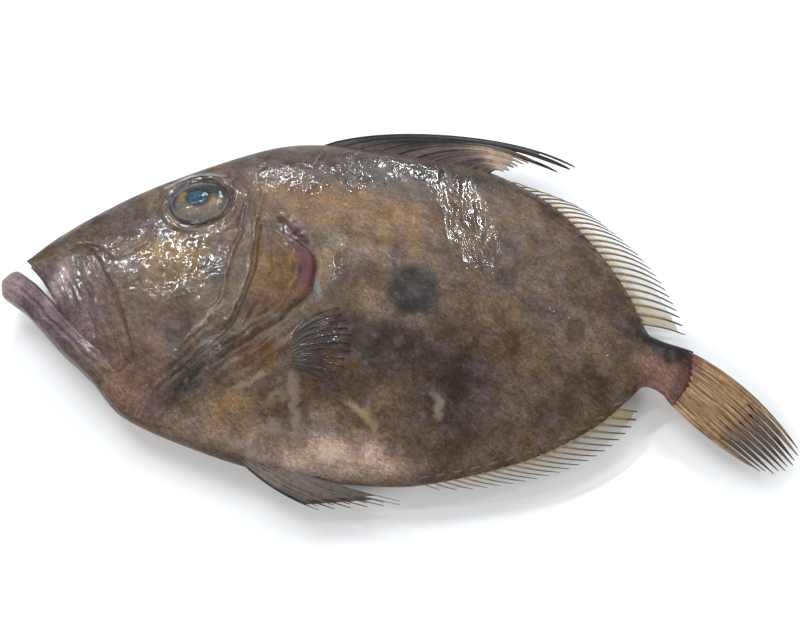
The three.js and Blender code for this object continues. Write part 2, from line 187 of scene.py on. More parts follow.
def smooth_line(stations):
    """Reads a smooth line through (x, value) stations at any x. Each slope is taken from both neighbours."""
    at, value = np.array(stations, float).T
    last = len(at) - 1
    before, after = np.maximum(np.arange(last + 1) - 1, 0), np.minimum(np.arange(last + 1) + 1, last)
    slope = (value[after] - value[before]) / (at[after] - at[before])

    def read(x):
        x = np.clip(x, at[0], at[-1])
        i = np.clip(np.searchsorted(at, x, side="right") - 1, 0, last - 1)
        width = at[i + 1] - at[i]
        t = (x - at[i]) / width
        bend = slope[i] * t * (1 - t) ** 2 - slope[i + 1] * t * t * (1 - t)
        return value[i] + (value[i + 1] - value[i]) * t * t * (3 - 2 * t) + width * bend

    return read


back_line, keel_line, thickest = smooth_line(BACK), smooth_line(KEEL), smooth_line(HALF_THICKNESS)
back_sharpness, keel_sharpness = smooth_line(BACK_SHARPNESS), smooth_line(KEEL_SHARPNESS)


def flank_height(x, y):
    """How far the flank stands out from the midplane at a place seen from the side."""
    share = np.clip(2 * (y - keel_line(x)) / (back_line(x) - keel_line(x)) - 1, -1, 1)
    sharpness = np.where(share > 0, back_sharpness(x), keel_sharpness(x))
    return thickest(x) * np.maximum(1 - share**2, 0) ** (sharpness / 2)


def smooth_path(knots, samples=48):
    """A smooth path through its knots, sampled evenly."""
    knots = np.array(knots, float)
    travel = np.r_[0, np.cumsum(np.linalg.norm(np.diff(knots, axis=0), axis=1))]
    even = np.linspace(0, travel[-1], samples)
    lines = [smooth_line(np.c_[travel, knots[:, axis]]) for axis in range(knots.shape[1])]
    return np.stack([line(even) for line in lines], axis=1)


def nearest_on(path, x, y):
    """For each place: its distance from a path, and how far along the path its nearest point lies, 0 to 1."""
    closest = np.full(x.shape, 1e9)
    along = np.zeros(x.shape)
    for i, (start, end) in enumerate(zip(path[:-1], path[1:])):
        step = end - start
        t = np.clip(((x - start[0]) * step[0] + (y - start[1]) * step[1]) / (step @ step), 0, 1)
        distance = np.hypot(x - start[0] - t * step[0], y - start[1] - t * step[1])
        nearer = distance < closest
        closest = np.where(nearer, distance, closest)
        along = np.where(nearer, (i + t) / (len(path) - 1), along)
    return closest, along


def depth_inside(outline, x, y):
    """How deep a place lies inside a closed smooth outline. It is negative outside."""
    path = smooth_path(list(outline) + [outline[0]], 90)
    distance, _ = nearest_on(path, x, y)
    crossings = np.zeros(x.shape, int)
    for (ax, ay), (bx, by) in zip(path[:-1], path[1:]):
        spans = (ay > y) != (by > y)
        crossings += spans & (x < ax + (bx - ax) * (y - ay) / np.where(by == ay, 1e-9, by - ay))
    return np.where(crossings % 2 == 1, distance, -distance)


def ease(low, high, value):
    t = np.clip((value - low) / (high - low), 0, 1)
    return t * t * (3 - 2 * t)


def ridge(path, width, x, y, fade=0.12):
    """A rounded ridge of height 1 along a path, which fades out at both ends."""
    distance, along = nearest_on(smooth_path(path), x, y)
    return np.exp(-((distance / width) ** 2)) * ease(0, fade, along) * ease(1, 1 - fade, along)


def patch(centre, radii, x, y, turn=0.0):
    """A soft round swelling of height 1."""
    c, s = math.cos(math.radians(turn)), math.sin(math.radians(turn))
    dx, dy = x - centre[0], y - centre[1]
    return np.exp(-((c * dx + s * dy) / radii[0]) ** 2 - ((c * dy - s * dx) / radii[1]) ** 2)


def ripple(x, y, scale, seed, octaves=3):
    """Smooth random relief between about -1 and 1. scale is the size of a bump along x and y."""
    places = zip((x / scale[0]).ravel(), (y / scale[1]).ravel())
    heights = [noise.fractal(Vector((u, v, seed)), 1.0, 2.0, octaves) for u, v in places]
    return np.array(heights).reshape(x.shape)


def crease(x, y, scale, seed):
    """Random relief with sharp winding crests, as in thin wet skin that has slackened."""
    return 1 - 2.4 * np.abs(ripple(x, y, scale, seed, 2))


def band(distance, middle, width):
    """A soft band of height 1 that follows an edge at some distance from it."""
    return np.exp(-(((distance - middle) / width) ** 2))


def eye_reach(x, y):
    """Distance from an eye's middle in parts of its own half size: 1 on the rim of the eyeball."""
    dx, dy = x - EYE[0], y - EYE[1]
    along = dx * math.cos(EYE_SLANT) + dy * math.sin(EYE_SLANT)
    across = dy * math.cos(EYE_SLANT) - dx * math.sin(EYE_SLANT)
    return np.hypot(along / EYE_HALF_SIZE[0], across / EYE_HALF_SIZE[1])


def rim_distance(x, y):
    """Roughly how far outside the eyeball's rim a place lies."""
    return (eye_reach(x, y) - 1) * EYE_MEAN_RADIUS


def wavered(x, y):
    """Places nudged about a little, so that the head's lines waver as in life."""
    return x + 1.9 * ripple(x, y, (15, 15), 33.0), y + 1.9 * ripple(x, y, (15, 15), 39.0)


def head_relief(x, y, seed):
    """Height of the head's plates, ridges and hollows over the plain flank."""
    rim = rim_distance(x, y)
    x, y = wavered(x, y)

    # The upper jaw stands out behind a groove, and its skin is pleated lengthwise.
    jaw_depth = depth_inside(UPPER_JAW, x, y)
    relief = 1.2 * ease(-0.4, 2.6, jaw_depth) - 0.9 * ease(-176, -160, x) * band(jaw_depth, -1.0, 0.8)
    along_jaw, across_jaw = 0.57 * x - 0.82 * y, 0.82 * x + 0.57 * y
    pleats = 0.42 * ripple(across_jaw, along_jaw, (3.2, 24), 3.1)
    streak = 0.5 * ridge(JAW_STREAK, 3.0, x, y) - 0.5 * ridge(LIP_SEAM, 1.4, x, y)
    relief += ease(0.5, 3, jaw_depth) * (pleats + streak)
    relief += 0.7 * ridge(SNOUT_FOLD, 1.9, x, y) + 0.9 * ridge(BROW, 2.4, x, y)

    # A rim of bone stands round the eye, with folds of skin inside it. Behind them the socket sinks.
    relief += 0.55 * band(rim, 2.2, 1.6) - 0.4 * band(rim, 6.5, 3.0)
    relief += 0.30 * np.sin(3.3 * rim + ripple(x, y, (14, 14), 8.0)) * ease(1.4, 0.2, rim)
    relief -= 9 * ease(-1.4, -3.4, rim)

    # Two broken ridges cross the cheek behind its hollows, and grow calmer towards the throat.
    calm = 0.45 + 0.55 * ease(-72, -36, y)
    broken = 0.75 + 0.5 * ripple(x, y, (9, 9), 35.0)
    ridges = 0.65 * ridge(CHEEK_RIDGE_FRONT, 1.4, x, y) + 0.6 * ridge(CHEEK_RIDGE_REAR, 1.3, x, y)
    relief += calm * broken * ridges
    relief -= 2.0 * patch((-111, 2), (19, 20), x, y) + 1.2 * patch((-104, -32), (16, 20), x, y, 50)

    # The gill cover is a raised plate in a groove, with fanned streaks above and pleats below.
    cover_depth = depth_inside(GILL_COVER, x, y)
    on_cover = ease(0, 1.5, cover_depth)
    relief += calm * (1.2 * on_cover - band(cover_depth, -1.2, 1.0))
    relief += 0.9 * ease(-7, -1, y) * ease(6.5, 9, cover_depth) - 0.5 * ridge(GILL_BONE, 1.2, x, y)
    fan = np.arctan2(y - 34, x + 66)
    relief += on_cover * ease(-10, 10, y) * 0.16 * np.sin(26 * fan + 5 * ripple(x, y, (16, 16), 5.2))
    relief += ease(1, 4, cover_depth) * ease(-8, -24, y) * 0.40 * np.sin(cover_depth * 1.5)
    relief -= 2.2 * ridge(GILL_SLIT, 2.0, x, y)
    relief += 0.5 * ridge(GILL_SLIT, 7, x, y) * crease(x, y, (5, 3), seed + 3)
    folded = patch((-72, 30), (9, 34), x, y) + patch((-60, -28), (26, 12), x, y, 42)
    folded += patch((-92, -56), (26, 8), x, y, 48)
    relief += 0.22 * folded * ripple(x + 0.35 * y, 0.35 * x - y, (2.6, 18), 14.0)

    # Long folds follow the gill cover's edge down the throat, and the cheek's thin skin is slack.
    edge_distance, _ = nearest_on(smooth_path(GILL_EDGE), x, y)
    throat = ease(-14, -30, y) * ease(-28, -44, x) * ease(0.5, 2, -cover_depth) * ease(26, 8, edge_distance)
    relief += throat * 0.42 * np.sin(edge_distance * 0.95 + ripple(x, y, (20, 20), 1.7))
    slack = patch((-112, 6), (27, 22), x, y, -10) + 0.6 * patch((-110, -28), (26, 24), x, y)
    relief += 0.26 * slack * crease(x, y, (7.5, 5.5), seed) * ease(2, 8, rim) * ease(-1, -5, jaw_depth)
    return relief


def flank_relief(x, y, seed):
    """Height of the soft swellings, wrinkles and lines of the flank behind the head."""
    relief = 0.55 * ripple(x, y, (40, 30), seed) + 0.16 * ripple(x, y, (10, 8), seed + 4)
    relief += 0.14 * ridge(LATERAL_LINE, 1.1, x, y) + 1.5 * patch((-47, -39), (10, 8), x, y)
    nape = patch((-35, 66), (34, 14), x, y) + 0.6 * patch((10, -84), (22, 10), x, y)
    relief += 0.22 * nape * crease(x, y, (7.0, 6.0), seed + 9)
    muscle_bands = np.sin(0.42 * (x + 0.55 * np.abs(y + 2)))
    relief += 0.10 * muscle_bands * ease(-20, 20, x) * ease(160, 140, x)
    return relief


def closed_grid(name, rings, start_cap, end_cap):
    """A closed mesh over rings of points, (rings, steps, 3), with one point that closes each end."""
    count, steps, _ = rings.shape
    ring, step = np.meshgrid(np.arange(count - 1), np.arange(steps), indexing="ij")
    a, b = ring * steps + step, ring * steps + (step + 1) % steps
    quads = np.stack([a, b, b + steps, a + steps], axis=-1).reshape(-1, 4)
    turn = np.arange(steps)
    onward = (turn + 1) % steps
    first, last = count * steps, count * steps + 1
    fans = [np.c_[np.full(steps, first), onward, turn], np.c_[np.full(steps, last), turn, onward]]
    fans[1][:, 1:] += (count - 1) * steps
    points = np.concatenate([rings.reshape(-1, 3), [start_cap], [end_cap]]) * MM
    mesh = bpy.data.meshes.new(name)
    mesh.from_pydata(points.tolist(), [], quads.tolist() + [f for fan in fans for f in fan.tolist()])
    mesh.update()
    return mesh


def as_piece(name, mesh, *materials):
    piece = bpy.data.objects.new(name, mesh)
    bpy.context.collection.objects.link(piece)
    for material in materials:
        mesh.materials.append(material)
    mesh.shade_smooth()
    return piece


def flank_rings(ring_x, upper_steps, under_steps, place):
    """Rings of points round a flattened body. place(x, share) gives a height seen from the side and how far
    the flank stands out there. share runs from 1 at the top edge to -1 at the bottom edge, with its points a
    little closer together at both."""
    upper = np.linspace(0, math.pi, upper_steps, endpoint=False)
    under = np.linspace(math.pi, 0, under_steps, endpoint=False)
    turn = np.r_[upper, under]
    side = np.r_[np.ones(upper_steps), -np.ones(under_steps)]
    share = 0.62 * np.cos(turn) + 0.38 * (1 - 2 * turn / math.pi)
    x, share = np.meshgrid(ring_x, share, indexing="ij")
    y, out = place(x, share)
    return np.stack([x, y, MIDPLANE + side * out], axis=-1), share


def body_place(x, share):
    sharpness = np.where(share > 0, back_sharpness(x), keel_sharpness(x))
    out = thickest(x) * np.maximum(1 - share**2, 0) ** (sharpness / 2)
    return keel_line(x) + (back_line(x) - keel_line(x)) * (share + 1) / 2, out


def outward(rings):
    """The direction out of the surface at every point of its rings."""
    along = np.gradient(rings, axis=0)
    around = np.roll(rings, -1, axis=1) - np.roll(rings, 1, axis=1)
    normal = np.cross(around, along)
    return normal / np.maximum(np.linalg.norm(normal, axis=-1, keepdims=True), 1e-9)


HEAD_RINGS, TAIL_RINGS = 208, 140
ring_x = np.r_[
    np.linspace(SNOUT_X + 0.5, GILL_X + 4, HEAD_RINGS, endpoint=False),
    np.linspace(GILL_X + 4, TAIL_BASE_X - 0.5, TAIL_RINGS),
]
body_rings, body_share = flank_rings(ring_x, 190, 90, body_place)
skin_x, skin_y = body_rings[..., 0], body_rings[..., 1]
left_flank = body_rings[..., 2] >= MIDPLANE
relief = head_relief(skin_x, skin_y, 2.0) * ease(-14, -32, skin_x)
relief += flank_relief(skin_x, skin_y, 7.0) * np.where(left_flank, 1, 0.6)
relief *= ease(1.0, 0.93, np.abs(body_share))
body_rings += outward(body_rings) * relief[..., None]

# The skin ends over the tail fin's roots in a slanting line, and thins there to the thickness of the rays.
at_end = ease(150, TAIL_BASE_X, skin_x)
body_rings[..., 0] += at_end * (0.5 - 8.5 * ((5.5 - skin_y) / 33.5) ** 2)
thin_down = 1 - 0.45 * ease(TAIL_BASE_X - 10, TAIL_BASE_X, skin_x)
body_rings[..., 2] = MIDPLANE + (body_rings[..., 2] - MIDPLANE) * thin_down

# Underneath, the flank rests on the table, and the side fin lies pressed into a shallow dent.
pressed = 0.9 * ease(0.30, 0.55, patch((-22, -32), (24, 24), skin_x, skin_y))
body_rings[..., 2] = np.maximum(body_rings[..., 2], pressed)
body_mesh = closed_grid("body", body_rings, (SNOUT_X, -5, MIDPLANE), (TAIL_BASE_X + 1.5, -11.5, MIDPLANE))


# ------------------------------------------------------------------------------- the skin's materials
# The skin is thin, almost without scales, and wet with slime. It is drab brown, clouded with violet grey,
# rust and gold, and a large dark thumbprint with a pale halo lies in the middle of each flank.


def node(tree, kind, inputs=None, **settings):
    """Adds a node. inputs maps a socket's name or number to a value, or to the socket that feeds it."""
    made = tree.nodes.new(kind)
    for name, value in settings.items():
        setattr(made, name, value)
    for name, value in (inputs or {}).items():
        socket = made.inputs[name]
        if isinstance(value, bpy.types.NodeSocket):
            tree.links.new(value, socket)
        else:
            socket.default_value = value
    return made


def maths(tree, operation, *values, clamp=False):
    settings = {"operation": operation, "use_clamp": clamp}
    return node(tree, "ShaderNodeMath", dict(enumerate(values)), **settings).outputs[0]


def vector_maths(tree, operation, *values, scale=None):
    inputs = dict(enumerate(values))
    if scale is not None:
        inputs["Scale"] = scale
    made = node(tree, "ShaderNodeVectorMath", inputs, operation=operation)
    return made.outputs["Value" if operation == "LENGTH" else "Vector"]


def turn_flat(tree, vector, angle):
    """Turns a vector about Z, by radians."""
    made = node(tree, "ShaderNodeVectorRotate", {"Vector": vector, "Angle": angle}, rotation_type="Z_AXIS")
    return made.outputs["Vector"]


def blend(tree, factor, below, above, mode="MIX"):
    """Mixes two colours: below where factor is 0, above where it is 1."""
    colour = [(*c, 1) if isinstance(c, tuple) and len(c) == 3 else c for c in (below, above)]
    inputs = {0: factor, 6: colour[0], 7: colour[1]}
    return node(tree, "ShaderNodeMix", inputs, data_type="RGBA", blend_type=mode).outputs[2]


def mix_values(tree, factor, below, above):
    return node(tree, "ShaderNodeMix", {0: factor, 2: below, 3: above}, data_type="FLOAT").outputs[0]


def stain(tree, colour, mask, tint, strength=1.0):
    """Lays a tint over a colour where the mask is 1."""
    return blend(tree, maths(tree, "MULTIPLY", mask, strength), colour, tint)


def shade(tree, colour, mask, low, high):
    """Multiplies a colour by a tint that runs from low, where the mask is 0, to high."""
    return blend(tree, 1.0, colour, blend(tree, mask, low, high), "MULTIPLY")


def step(tree, value, low, high):
    """Rises smoothly from 0 at low to 1 at high."""
    inputs = {"Value": value, "From Min": low, "From Max": high}
    return node(tree, "ShaderNodeMapRange", inputs, interpolation_type="SMOOTHSTEP").outputs["Result"]


def effect_group(name, inputs, outputs):
    """An empty node group, with sockets given as name to (kind, default), and its two ends."""
    group = bpy.data.node_groups.new(name, "ShaderNodeTree")
    for label, (kind, default) in inputs.items():
        socket = group.interface.new_socket(label, in_out="INPUT", socket_type=kind)
        if default is not None:
            socket.default_value = default
    for label, kind in outputs.items():
        group.interface.new_socket(label, in_out="OUTPUT", socket_type=kind)
    return group, group.nodes.new("NodeGroupInput").outputs, group.nodes.new("NodeGroupOutput").inputs


FLOAT, VECTOR = "NodeSocketFloat", "NodeSocketVector"


def surface_places(tree):
    """Where a point of the surface is, in millimetres, and that place nudged about for ragged edges."""
    place = vector_maths(tree, "SCALE", node(tree, "ShaderNodeTexCoord").outputs["Object"], scale=1000.0)
    inputs = {"Vector": place, "Scale": 0.11, "Detail": 4.0, "Roughness": 0.62}
    wander = node(tree, "ShaderNodeTexNoise", inputs).outputs["Color"]
    nudge = vector_maths(tree, "SCALE", vector_maths(tree, "SUBTRACT", wander, (0.5, 0.5, 0.5)), scale=14.0)
    return place, vector_maths(tree, "ADD", place, nudge)


def build_soft_patch():
    """A round or oval patch with a soft edge: 1 inside, 0 outside. It goes through both flanks."""
    inputs = {
        "Place": (VECTOR, None), "Centre": (VECTOR, (0, 0, 0)), "Turn": (FLOAT, 0.0),
        "Half Size": (VECTOR, (10, 10, 1)), "Softness": (FLOAT, 0.5),
    }
    group, given, out = effect_group("soft_patch", inputs, {"Mask": FLOAT})
    flat = vector_maths(group, "MULTIPLY", given["Place"], (1, 1, 0))
    offset = vector_maths(group, "SUBTRACT", flat, given["Centre"])
    turned = turn_flat(group, offset, maths(group, "MULTIPLY", given["Turn"], -math.pi / 180))
    reach = vector_maths(group, "LENGTH", vector_maths(group, "DIVIDE", turned, given["Half Size"]))
    near = maths(group, "SUBTRACT", 1.0, given["Softness"])
    far = maths(group, "ADD", 1.0, given["Softness"])
    group.links.new(step(group, reach, far, near), out["Mask"])
    return group


def build_mottle():
    """Cloudy blotches: 0 to 1, centred on one half."""
    inputs = {"Place": (VECTOR, None), "Size": (FLOAT, 10.0), "Contrast": (FLOAT, 2.0), "Seed": (FLOAT, 0.0)}
    group, given, out = effect_group("mottle", inputs, {"Factor": FLOAT})
    scale = maths(group, "DIVIDE", 1.0, given["Size"])
    clouds = node(
        group, "ShaderNodeTexNoise",
        {"Vector": given["Place"], "W": given["Seed"], "Scale": scale, "Detail": 4.0, "Roughness": 0.6},
        noise_dimensions="4D",
    ).outputs["Fac"]
    centred = maths(group, "SUBTRACT", clouds, 0.5)
    stretched = maths(group, "MULTIPLY_ADD", centred, given["Contrast"], 0.5, clamp=True)
    group.links.new(stretched, out["Factor"])
    return group


def build_slime():
    """The relief of wet slime over fine-grained skin. Its film hangs in runs down the flank, curls, and
    breaks into beads. Heights are in millimetres."""
    inputs = {
        "Place": (VECTOR, None), "Runs": (FLOAT, 0.3), "Curls": (FLOAT, 0.2), "Beads": (FLOAT, 0.0),
        "Grain": (FLOAT, 0.01),
    }
    group, given, out = effect_group("slime_relief", inputs, {"Height": FLOAT})
    bend = node(group, "ShaderNodeTexNoise", {"Vector": given["Place"], "Scale": 0.12, "Detail": 1.0})
    swirl = vector_maths(group, "SCALE", bend.outputs["Color"], scale=8.0)
    swirled = vector_maths(group, "ADD", given["Place"], swirl)
    hung = vector_maths(group, "MULTIPLY", turn_flat(group, swirled, -0.22), (1.0, 0.14, 0.0))
    height = 0.0
    for vector, scale, detail, amount in (
        (hung, 0.30, 0.0, given["Runs"]), (swirled, 0.42, 0.5, given["Curls"]),
        (swirled, 0.95, 0.5, given["Beads"]), (given["Place"], 1.6, 1.0, given["Grain"]),
    ):
        swell = node(group, "ShaderNodeTexNoise", {"Vector": vector, "Scale": scale, "Detail": detail})
        height = maths(group, "MULTIPLY_ADD", swell.outputs["Fac"], amount, height)
    group.links.new(height, out["Height"])
    return group


patch_group, mottle_group, slime_group = build_soft_patch(), build_mottle(), build_slime()


def soft_patch(tree, place, centre, half_size, turn=0.0, softness=0.5):
    inputs = {"Place": place, "Centre": (*centre, 0), "Turn": turn, "Half Size": (*half_size, 1)}
    inputs["Softness"] = softness
    return node(tree, "ShaderNodeGroup", inputs, node_tree=patch_group).outputs["Mask"]


def mottle(tree, place, size, contrast, seed):
    inputs = {"Place": place, "Size": size, "Contrast": contrast, "Seed": seed}
    return node(tree, "ShaderNodeGroup", inputs, node_tree=mottle_group).outputs["Factor"]


COAT_IN_WET, ROUGHNESS_IN_WET = 0.72, 0.16


def wet_material(name, roughness, curls, grain, wet_zones=None):
    """A wet material with no colour yet: itself, its tree, its shader, and the plain and the ragged place.
    curls and grain are the heights of its slime and of its grain. wet_zones carry a thicker clear film."""
    material = bpy.data.materials.new(name)
    material.use_nodes = True
    tree = material.node_tree
    shader = tree.nodes["Principled BSDF"]
    shader.inputs["IOR"].default_value = 1.36
    shader.inputs["Specular IOR Level"].default_value = 0.32
    shader.inputs["Coat Roughness"].default_value = 0.045
    shader.inputs["Coat IOR"].default_value = 1.5
    place, ragged = surface_places(tree)
    wet, runs = wet_zones(tree, place) if wet_zones else (0.0, 0.0)
    in_wet = maths(tree, "MULTIPLY_ADD", wet, 0.7 * curls, maths(tree, "MULTIPLY_ADD", runs, -0.25, curls))
    beads = maths(tree, "MULTIPLY", maths(tree, "MULTIPLY_ADD", runs, -1.7, wet), 0.07, clamp=True)
    inputs = {"Place": place, "Runs": runs, "Curls": in_wet, "Beads": beads, "Grain": grain}
    height = node(tree, "ShaderNodeGroup", inputs, node_tree=slime_group).outputs["Height"]
    relief = node(tree, "ShaderNodeBump", {"Height": height, "Distance": MM}).outputs["Normal"]
    tree.links.new(relief, shader.inputs["Normal"])
    if wet_zones:
        tree.links.new(relief, shader.inputs["Coat Normal"])
        tree.links.new(maths(tree, "MULTIPLY", wet, COAT_IN_WET), shader.inputs["Coat Weight"])
    low, high = roughness
    patchy = maths(tree, "MULTIPLY_ADD", mottle(tree, place, 7.0, 2.2, 11.0), high - low, low)
    tree.links.new(mix_values(tree, wet, patchy, ROUGHNESS_IN_WET), shader.inputs["Roughness"])
    return material, tree, shader, (place, ragged)


BROWN, UMBER, OLIVE = (0.138, 0.093, 0.060), (0.060, 0.042, 0.028), (0.118, 0.088, 0.042)
VIOLET_GREY, BLACKISH = (0.142, 0.112, 0.108), (0.030, 0.024, 0.018)
TAN, RUST = (0.205, 0.138, 0.088), (0.125, 0.058, 0.022)
BLOOD, WINE, CREAM = (0.100, 0.026, 0.033), (0.085, 0.040, 0.046), (0.400, 0.340, 0.280)

# Patches of colour on each flank: centre, half size, turn in degrees, softness, colour and strength.
FLANK_PATCHES = [
    ((-30, 79), (60, 11), 1, 0.6, (0.090, 0.078, 0.076), 0.85),
    ((20, 88), (44, 7), -6, 0.6, (0.058, 0.044, 0.038), 0.80),
    ((-14, 51), (40, 13), 1, 0.6, (0.262, 0.164, 0.082), 0.80),
    ((0, 34), (24, 10), 4, 0.7, (0.205, 0.134, 0.074), 0.70),
    ((-46, 44), (12, 10), 4, 0.7, (0.22, 0.145, 0.085), 0.60),
    ((74, 60), (22, 10), -21, 0.8, TAN, 0.25),
    ((116, 36), (20, 10), -36, 0.8, UMBER, 0.42),
    ((77, 35), (18, 6), -25, 0.8, VIOLET_GREY, 0.35),
    ((50, 22), (20, 5), -32, 0.8, VIOLET_GREY, 0.25),
    ((112, 0), (18, 9), -21, 0.8, VIOLET_GREY, 0.50),
    ((97, 74), (40, 6), -28, 0.7, UMBER, 0.75),
    ((68, 25), (40, 2.6), -29, 0.8, UMBER, 0.55),
    ((96, 28), (44, 2.2), -36, 0.8, UMBER, 0.40),
    ((12, -24), (42, 20), 4, 0.6, (0.038, 0.027, 0.019), 0.90),
    ((-20, -54), (26, 11), 20, 0.7, (0.072, 0.046, 0.024), 0.75),
    ((100, -40), (16, 12), 20, 0.7, (0.110, 0.092, 0.098), 0.35),
    ((104, 16), (20, 12), -30, 0.7, (0.190, 0.155, 0.140), 0.45),
    ((5, -3), (8, 11), 0, 0.7, (0.240, 0.175, 0.125), 0.50),
    ((54, -47), (22, 24), 9, 0.6, (0.030, 0.024, 0.020), 0.85),
    ((82, -50), (26, 12), 19, 0.7, (0.120, 0.100, 0.096), 0.35),
    ((123, -30), (30, 11), 34, 0.7, BLACKISH, 0.50),
    ((76, -12), (11, 9), 9, 0.7, (0.062, 0.032, 0.014), 0.68),
    ((-52, -40), (12, 9), 9, 0.5, (0.105, 0.045, 0.012), 0.90),
    ((-12, -38), (12, 5), -11, 0.7, RUST, 0.50),
    ((-12, 26), (17, 5), 9, 0.7, (0.185, 0.150, 0.145), 0.65),
    ((-24, 30), (6, 6), 9, 0.6, CREAM, 0.30),
    ((-25.5, 12), (4.5, 12), 9, 0.6, (0.26, 0.19, 0.11), 0.65),
    ((-2, -88), (32, 9.5), 6, 0.7, (0.58, 0.46, 0.41), 0.85),
    ((-54, -84), (36, 8), -6, 0.7, (0.27, 0.20, 0.155), 0.65),
    ((-63, -74), (11, 7), 30, 0.6, (0.24, 0.155, 0.075), 0.70),
    ((-15, -75), (13, 6), 9, 0.6, (0.24, 0.21, 0.20), 0.60),
    ((-81, -61), (18, 7), 46, 0.6, UMBER, 0.55),
]
HEAD_PATCHES = [
    ((-143, 24), (29, 12), -21, 0.5, (0.086, 0.069, 0.068), 0.88),
    ((-117, 66), (36, 6), 27, 0.6, (0.090, 0.082, 0.082), 0.70),
    # Painted shadow under the brow, along the top of the eye's socket.
    ((-104, 59), (19, 3.5), 14, 0.5, (0.045, 0.040, 0.038), 0.80),
    ((-87, 60), (14, 8), 20, 0.6, (0.140, 0.090, 0.080), 0.60),
    ((-99, 22), (22, 4), 14, 0.6, (0.180, 0.150, 0.130), 0.50),
    ((-110, 2), (24, 15), -1, 0.6, (0.285, 0.195, 0.085), 0.85),
    ((-100, -25), (24, 18), -21, 0.7, (0.094, 0.062, 0.045), 0.87),
    ((-66, 50), (9, 10), 9, 0.7, (0.215, 0.125, 0.055), 0.80),
    ((-81, 22), (6, 30), 2, 0.7, (0.130, 0.080, 0.066), 0.70),
    ((-51, 8), (13, 18), 24, 0.55, (0.172, 0.094, 0.022), 0.95),
    ((-57, -14), (12, 10), 39, 0.6, (0.112, 0.052, 0.014), 0.90),
    ((-87, 2), (6, 10), 29, 0.7, (0.030, 0.031, 0.034), 0.88),
    ((-84, -53), (36, 9), 49, 0.5, (0.066, 0.053, 0.043), 0.87),
    ((-90, -66), (16, 2.4), 48, 0.6, (0.045, 0.036, 0.030), 0.5),
    ((-114, -72), (15, 17), 9, 0.6, (0.205, 0.122, 0.092), 0.80),
    ((-112, -50), (10, 16), 9, 0.7, (0.165, 0.105, 0.085), 0.70),
    ((-152, -34), (28, 12), -50, 0.7, (0.138, 0.096, 0.092), 0.80),
    ((-176, -34), (40, 9), -40, 0.5, (0.150, 0.102, 0.108), 0.80),
    # Lightened as a painted highlight on the tip of the lower jaw.
    ((-197, -22), (12, 12), -40, 0.6, (0.340, 0.235, 0.230), 0.75),
    ((-133, 1), (2.6, 8), 28, 0.6, (0.240, 0.215, 0.250), 0.65),
    ((-133, -38), (7, 22), 22, 0.6, (0.165, 0.108, 0.068), 0.60),
    # A pale patch painted in as a highlight on the front of the upper jaw.
    ((-168.5, -17), (6, 11), -11, 0.7, (0.50, 0.40, 0.36), 0.75),
    ((-49, 32), (10, 4.5), -36, 0.5, WINE, 0.85),
]
# The narrow root of the tail is reddish, blood red next to the tail fin, and black along its back.
TAIL_ROOT_PATCHES = [
    ((164, -15), (17, 12), -22, 0.7, (0.290, 0.172, 0.145), 0.85),
    ((175, -13), (5.5, 14), -16, 0.6, (0.110, 0.044, 0.045), 1.00),
    ((160, 6.5), (22, 8.0), -13, 0.6, (0.028, 0.023, 0.024), 1.00),
]
# Small marks: dried slime, scratches and pale stains, with crisper edges.
SKIN_MARKS = [
    ((-28.2, -0.5), (2.0, 6.0), 29, 0.35, (0.20, 0.22, 0.21), 0.70),
    ((5, -62.4), (7.0, 2.2), -30, 0.8, (0.38, 0.285, 0.165), 0.70),
    ((13.4, -68.5), (2.4, 8.0), 24, 0.8, (0.31, 0.23, 0.12), 0.65),
    ((17, -59), (4.6, 1.4), 60, 0.5, (0.24, 0.18, 0.10), 0.50),
    ((45.2, -52.3), (2.6, 6.0), 19, 0.7, (0.29, 0.24, 0.19), 0.65),
    ((-28.0, -66), (2.2, 19), 14, 0.8, (0.27, 0.21, 0.17), 0.65),
    ((-39, -63.5), (7.5, 2.2), 38, 0.8, (0.27, 0.21, 0.17), 0.55),
    ((-57.5, -59), (11, 1.1), 33, 0.4, (0.24, 0.185, 0.15), 0.65),
    ((-48.6, -53.3), (2.4, 2.0), 20, 0.4, (0.26, 0.20, 0.15), 0.65),
    ((-36, -78.5), (4.2, 2.4), -21, 0.8, (0.30, 0.25, 0.19), 0.50),
    ((-5, -87), (8, 3), 9, 0.6, (0.50, 0.40, 0.32), 0.60),
    ((-83.5, -25.5), (1.7, 12), -30, 0.35, (0.26, 0.205, 0.175), 0.80),
    ((6.6, 27), (8.5, 0.45), -30, 0.4, (0.33, 0.26, 0.20), 0.55),
    ((-45.5, 81), (8.0, 0.40), 82, 0.4, (0.36, 0.32, 0.28), 0.55),
]


def paint_patches(tree, colour, place, patches):
    for centre, half_size, turn, softness, tint, strength in patches:
        mask = soft_patch(tree, place, centre, half_size, turn, softness)
        colour = stain(tree, colour, mask, tint, strength)
    return colour


def marked(tree, name):
    return node(tree, "ShaderNodeAttribute", attribute_name=name).outputs["Vector"]


# Where the flank is wettest: centre, half size and turn. The film of the first one hangs in runs.
WET_ZONES = [
    ((40, 61), (14, 38), 25), ((-42, 69), (38, 13), 2), ((-114, 6), (30, 22), -8),
    ((-103, 24), (20, 7), 14), ((4, 86), (44, 8), -3), ((118, 0), (24, 7), -28),
    ((-19, 21), (8, 13), -10), ((-24, -31), (15, 12), 10),
]


def skin_wet_zones(tree, place):
    """How wet the skin is, and the height of the runs of slime that hang down the upper flank."""
    masks = [soft_patch(tree, place, centre, size, turn, 0.4) for centre, size, turn in WET_ZONES]
    wet = node(tree, "ShaderNodeSeparateXYZ", {0: marked(tree, "crease_shade_wet_blood")}).outputs["Y"]
    for mask in masks:
        wet = maths(tree, "MAXIMUM", wet, mask)
    broken = step(tree, mottle(tree, place, 6.5, 2.8, 14.0), 0.22, 0.60)
    return maths(tree, "MULTIPLY", wet, broken), maths(tree, "MULTIPLY", masks[0], 0.58)


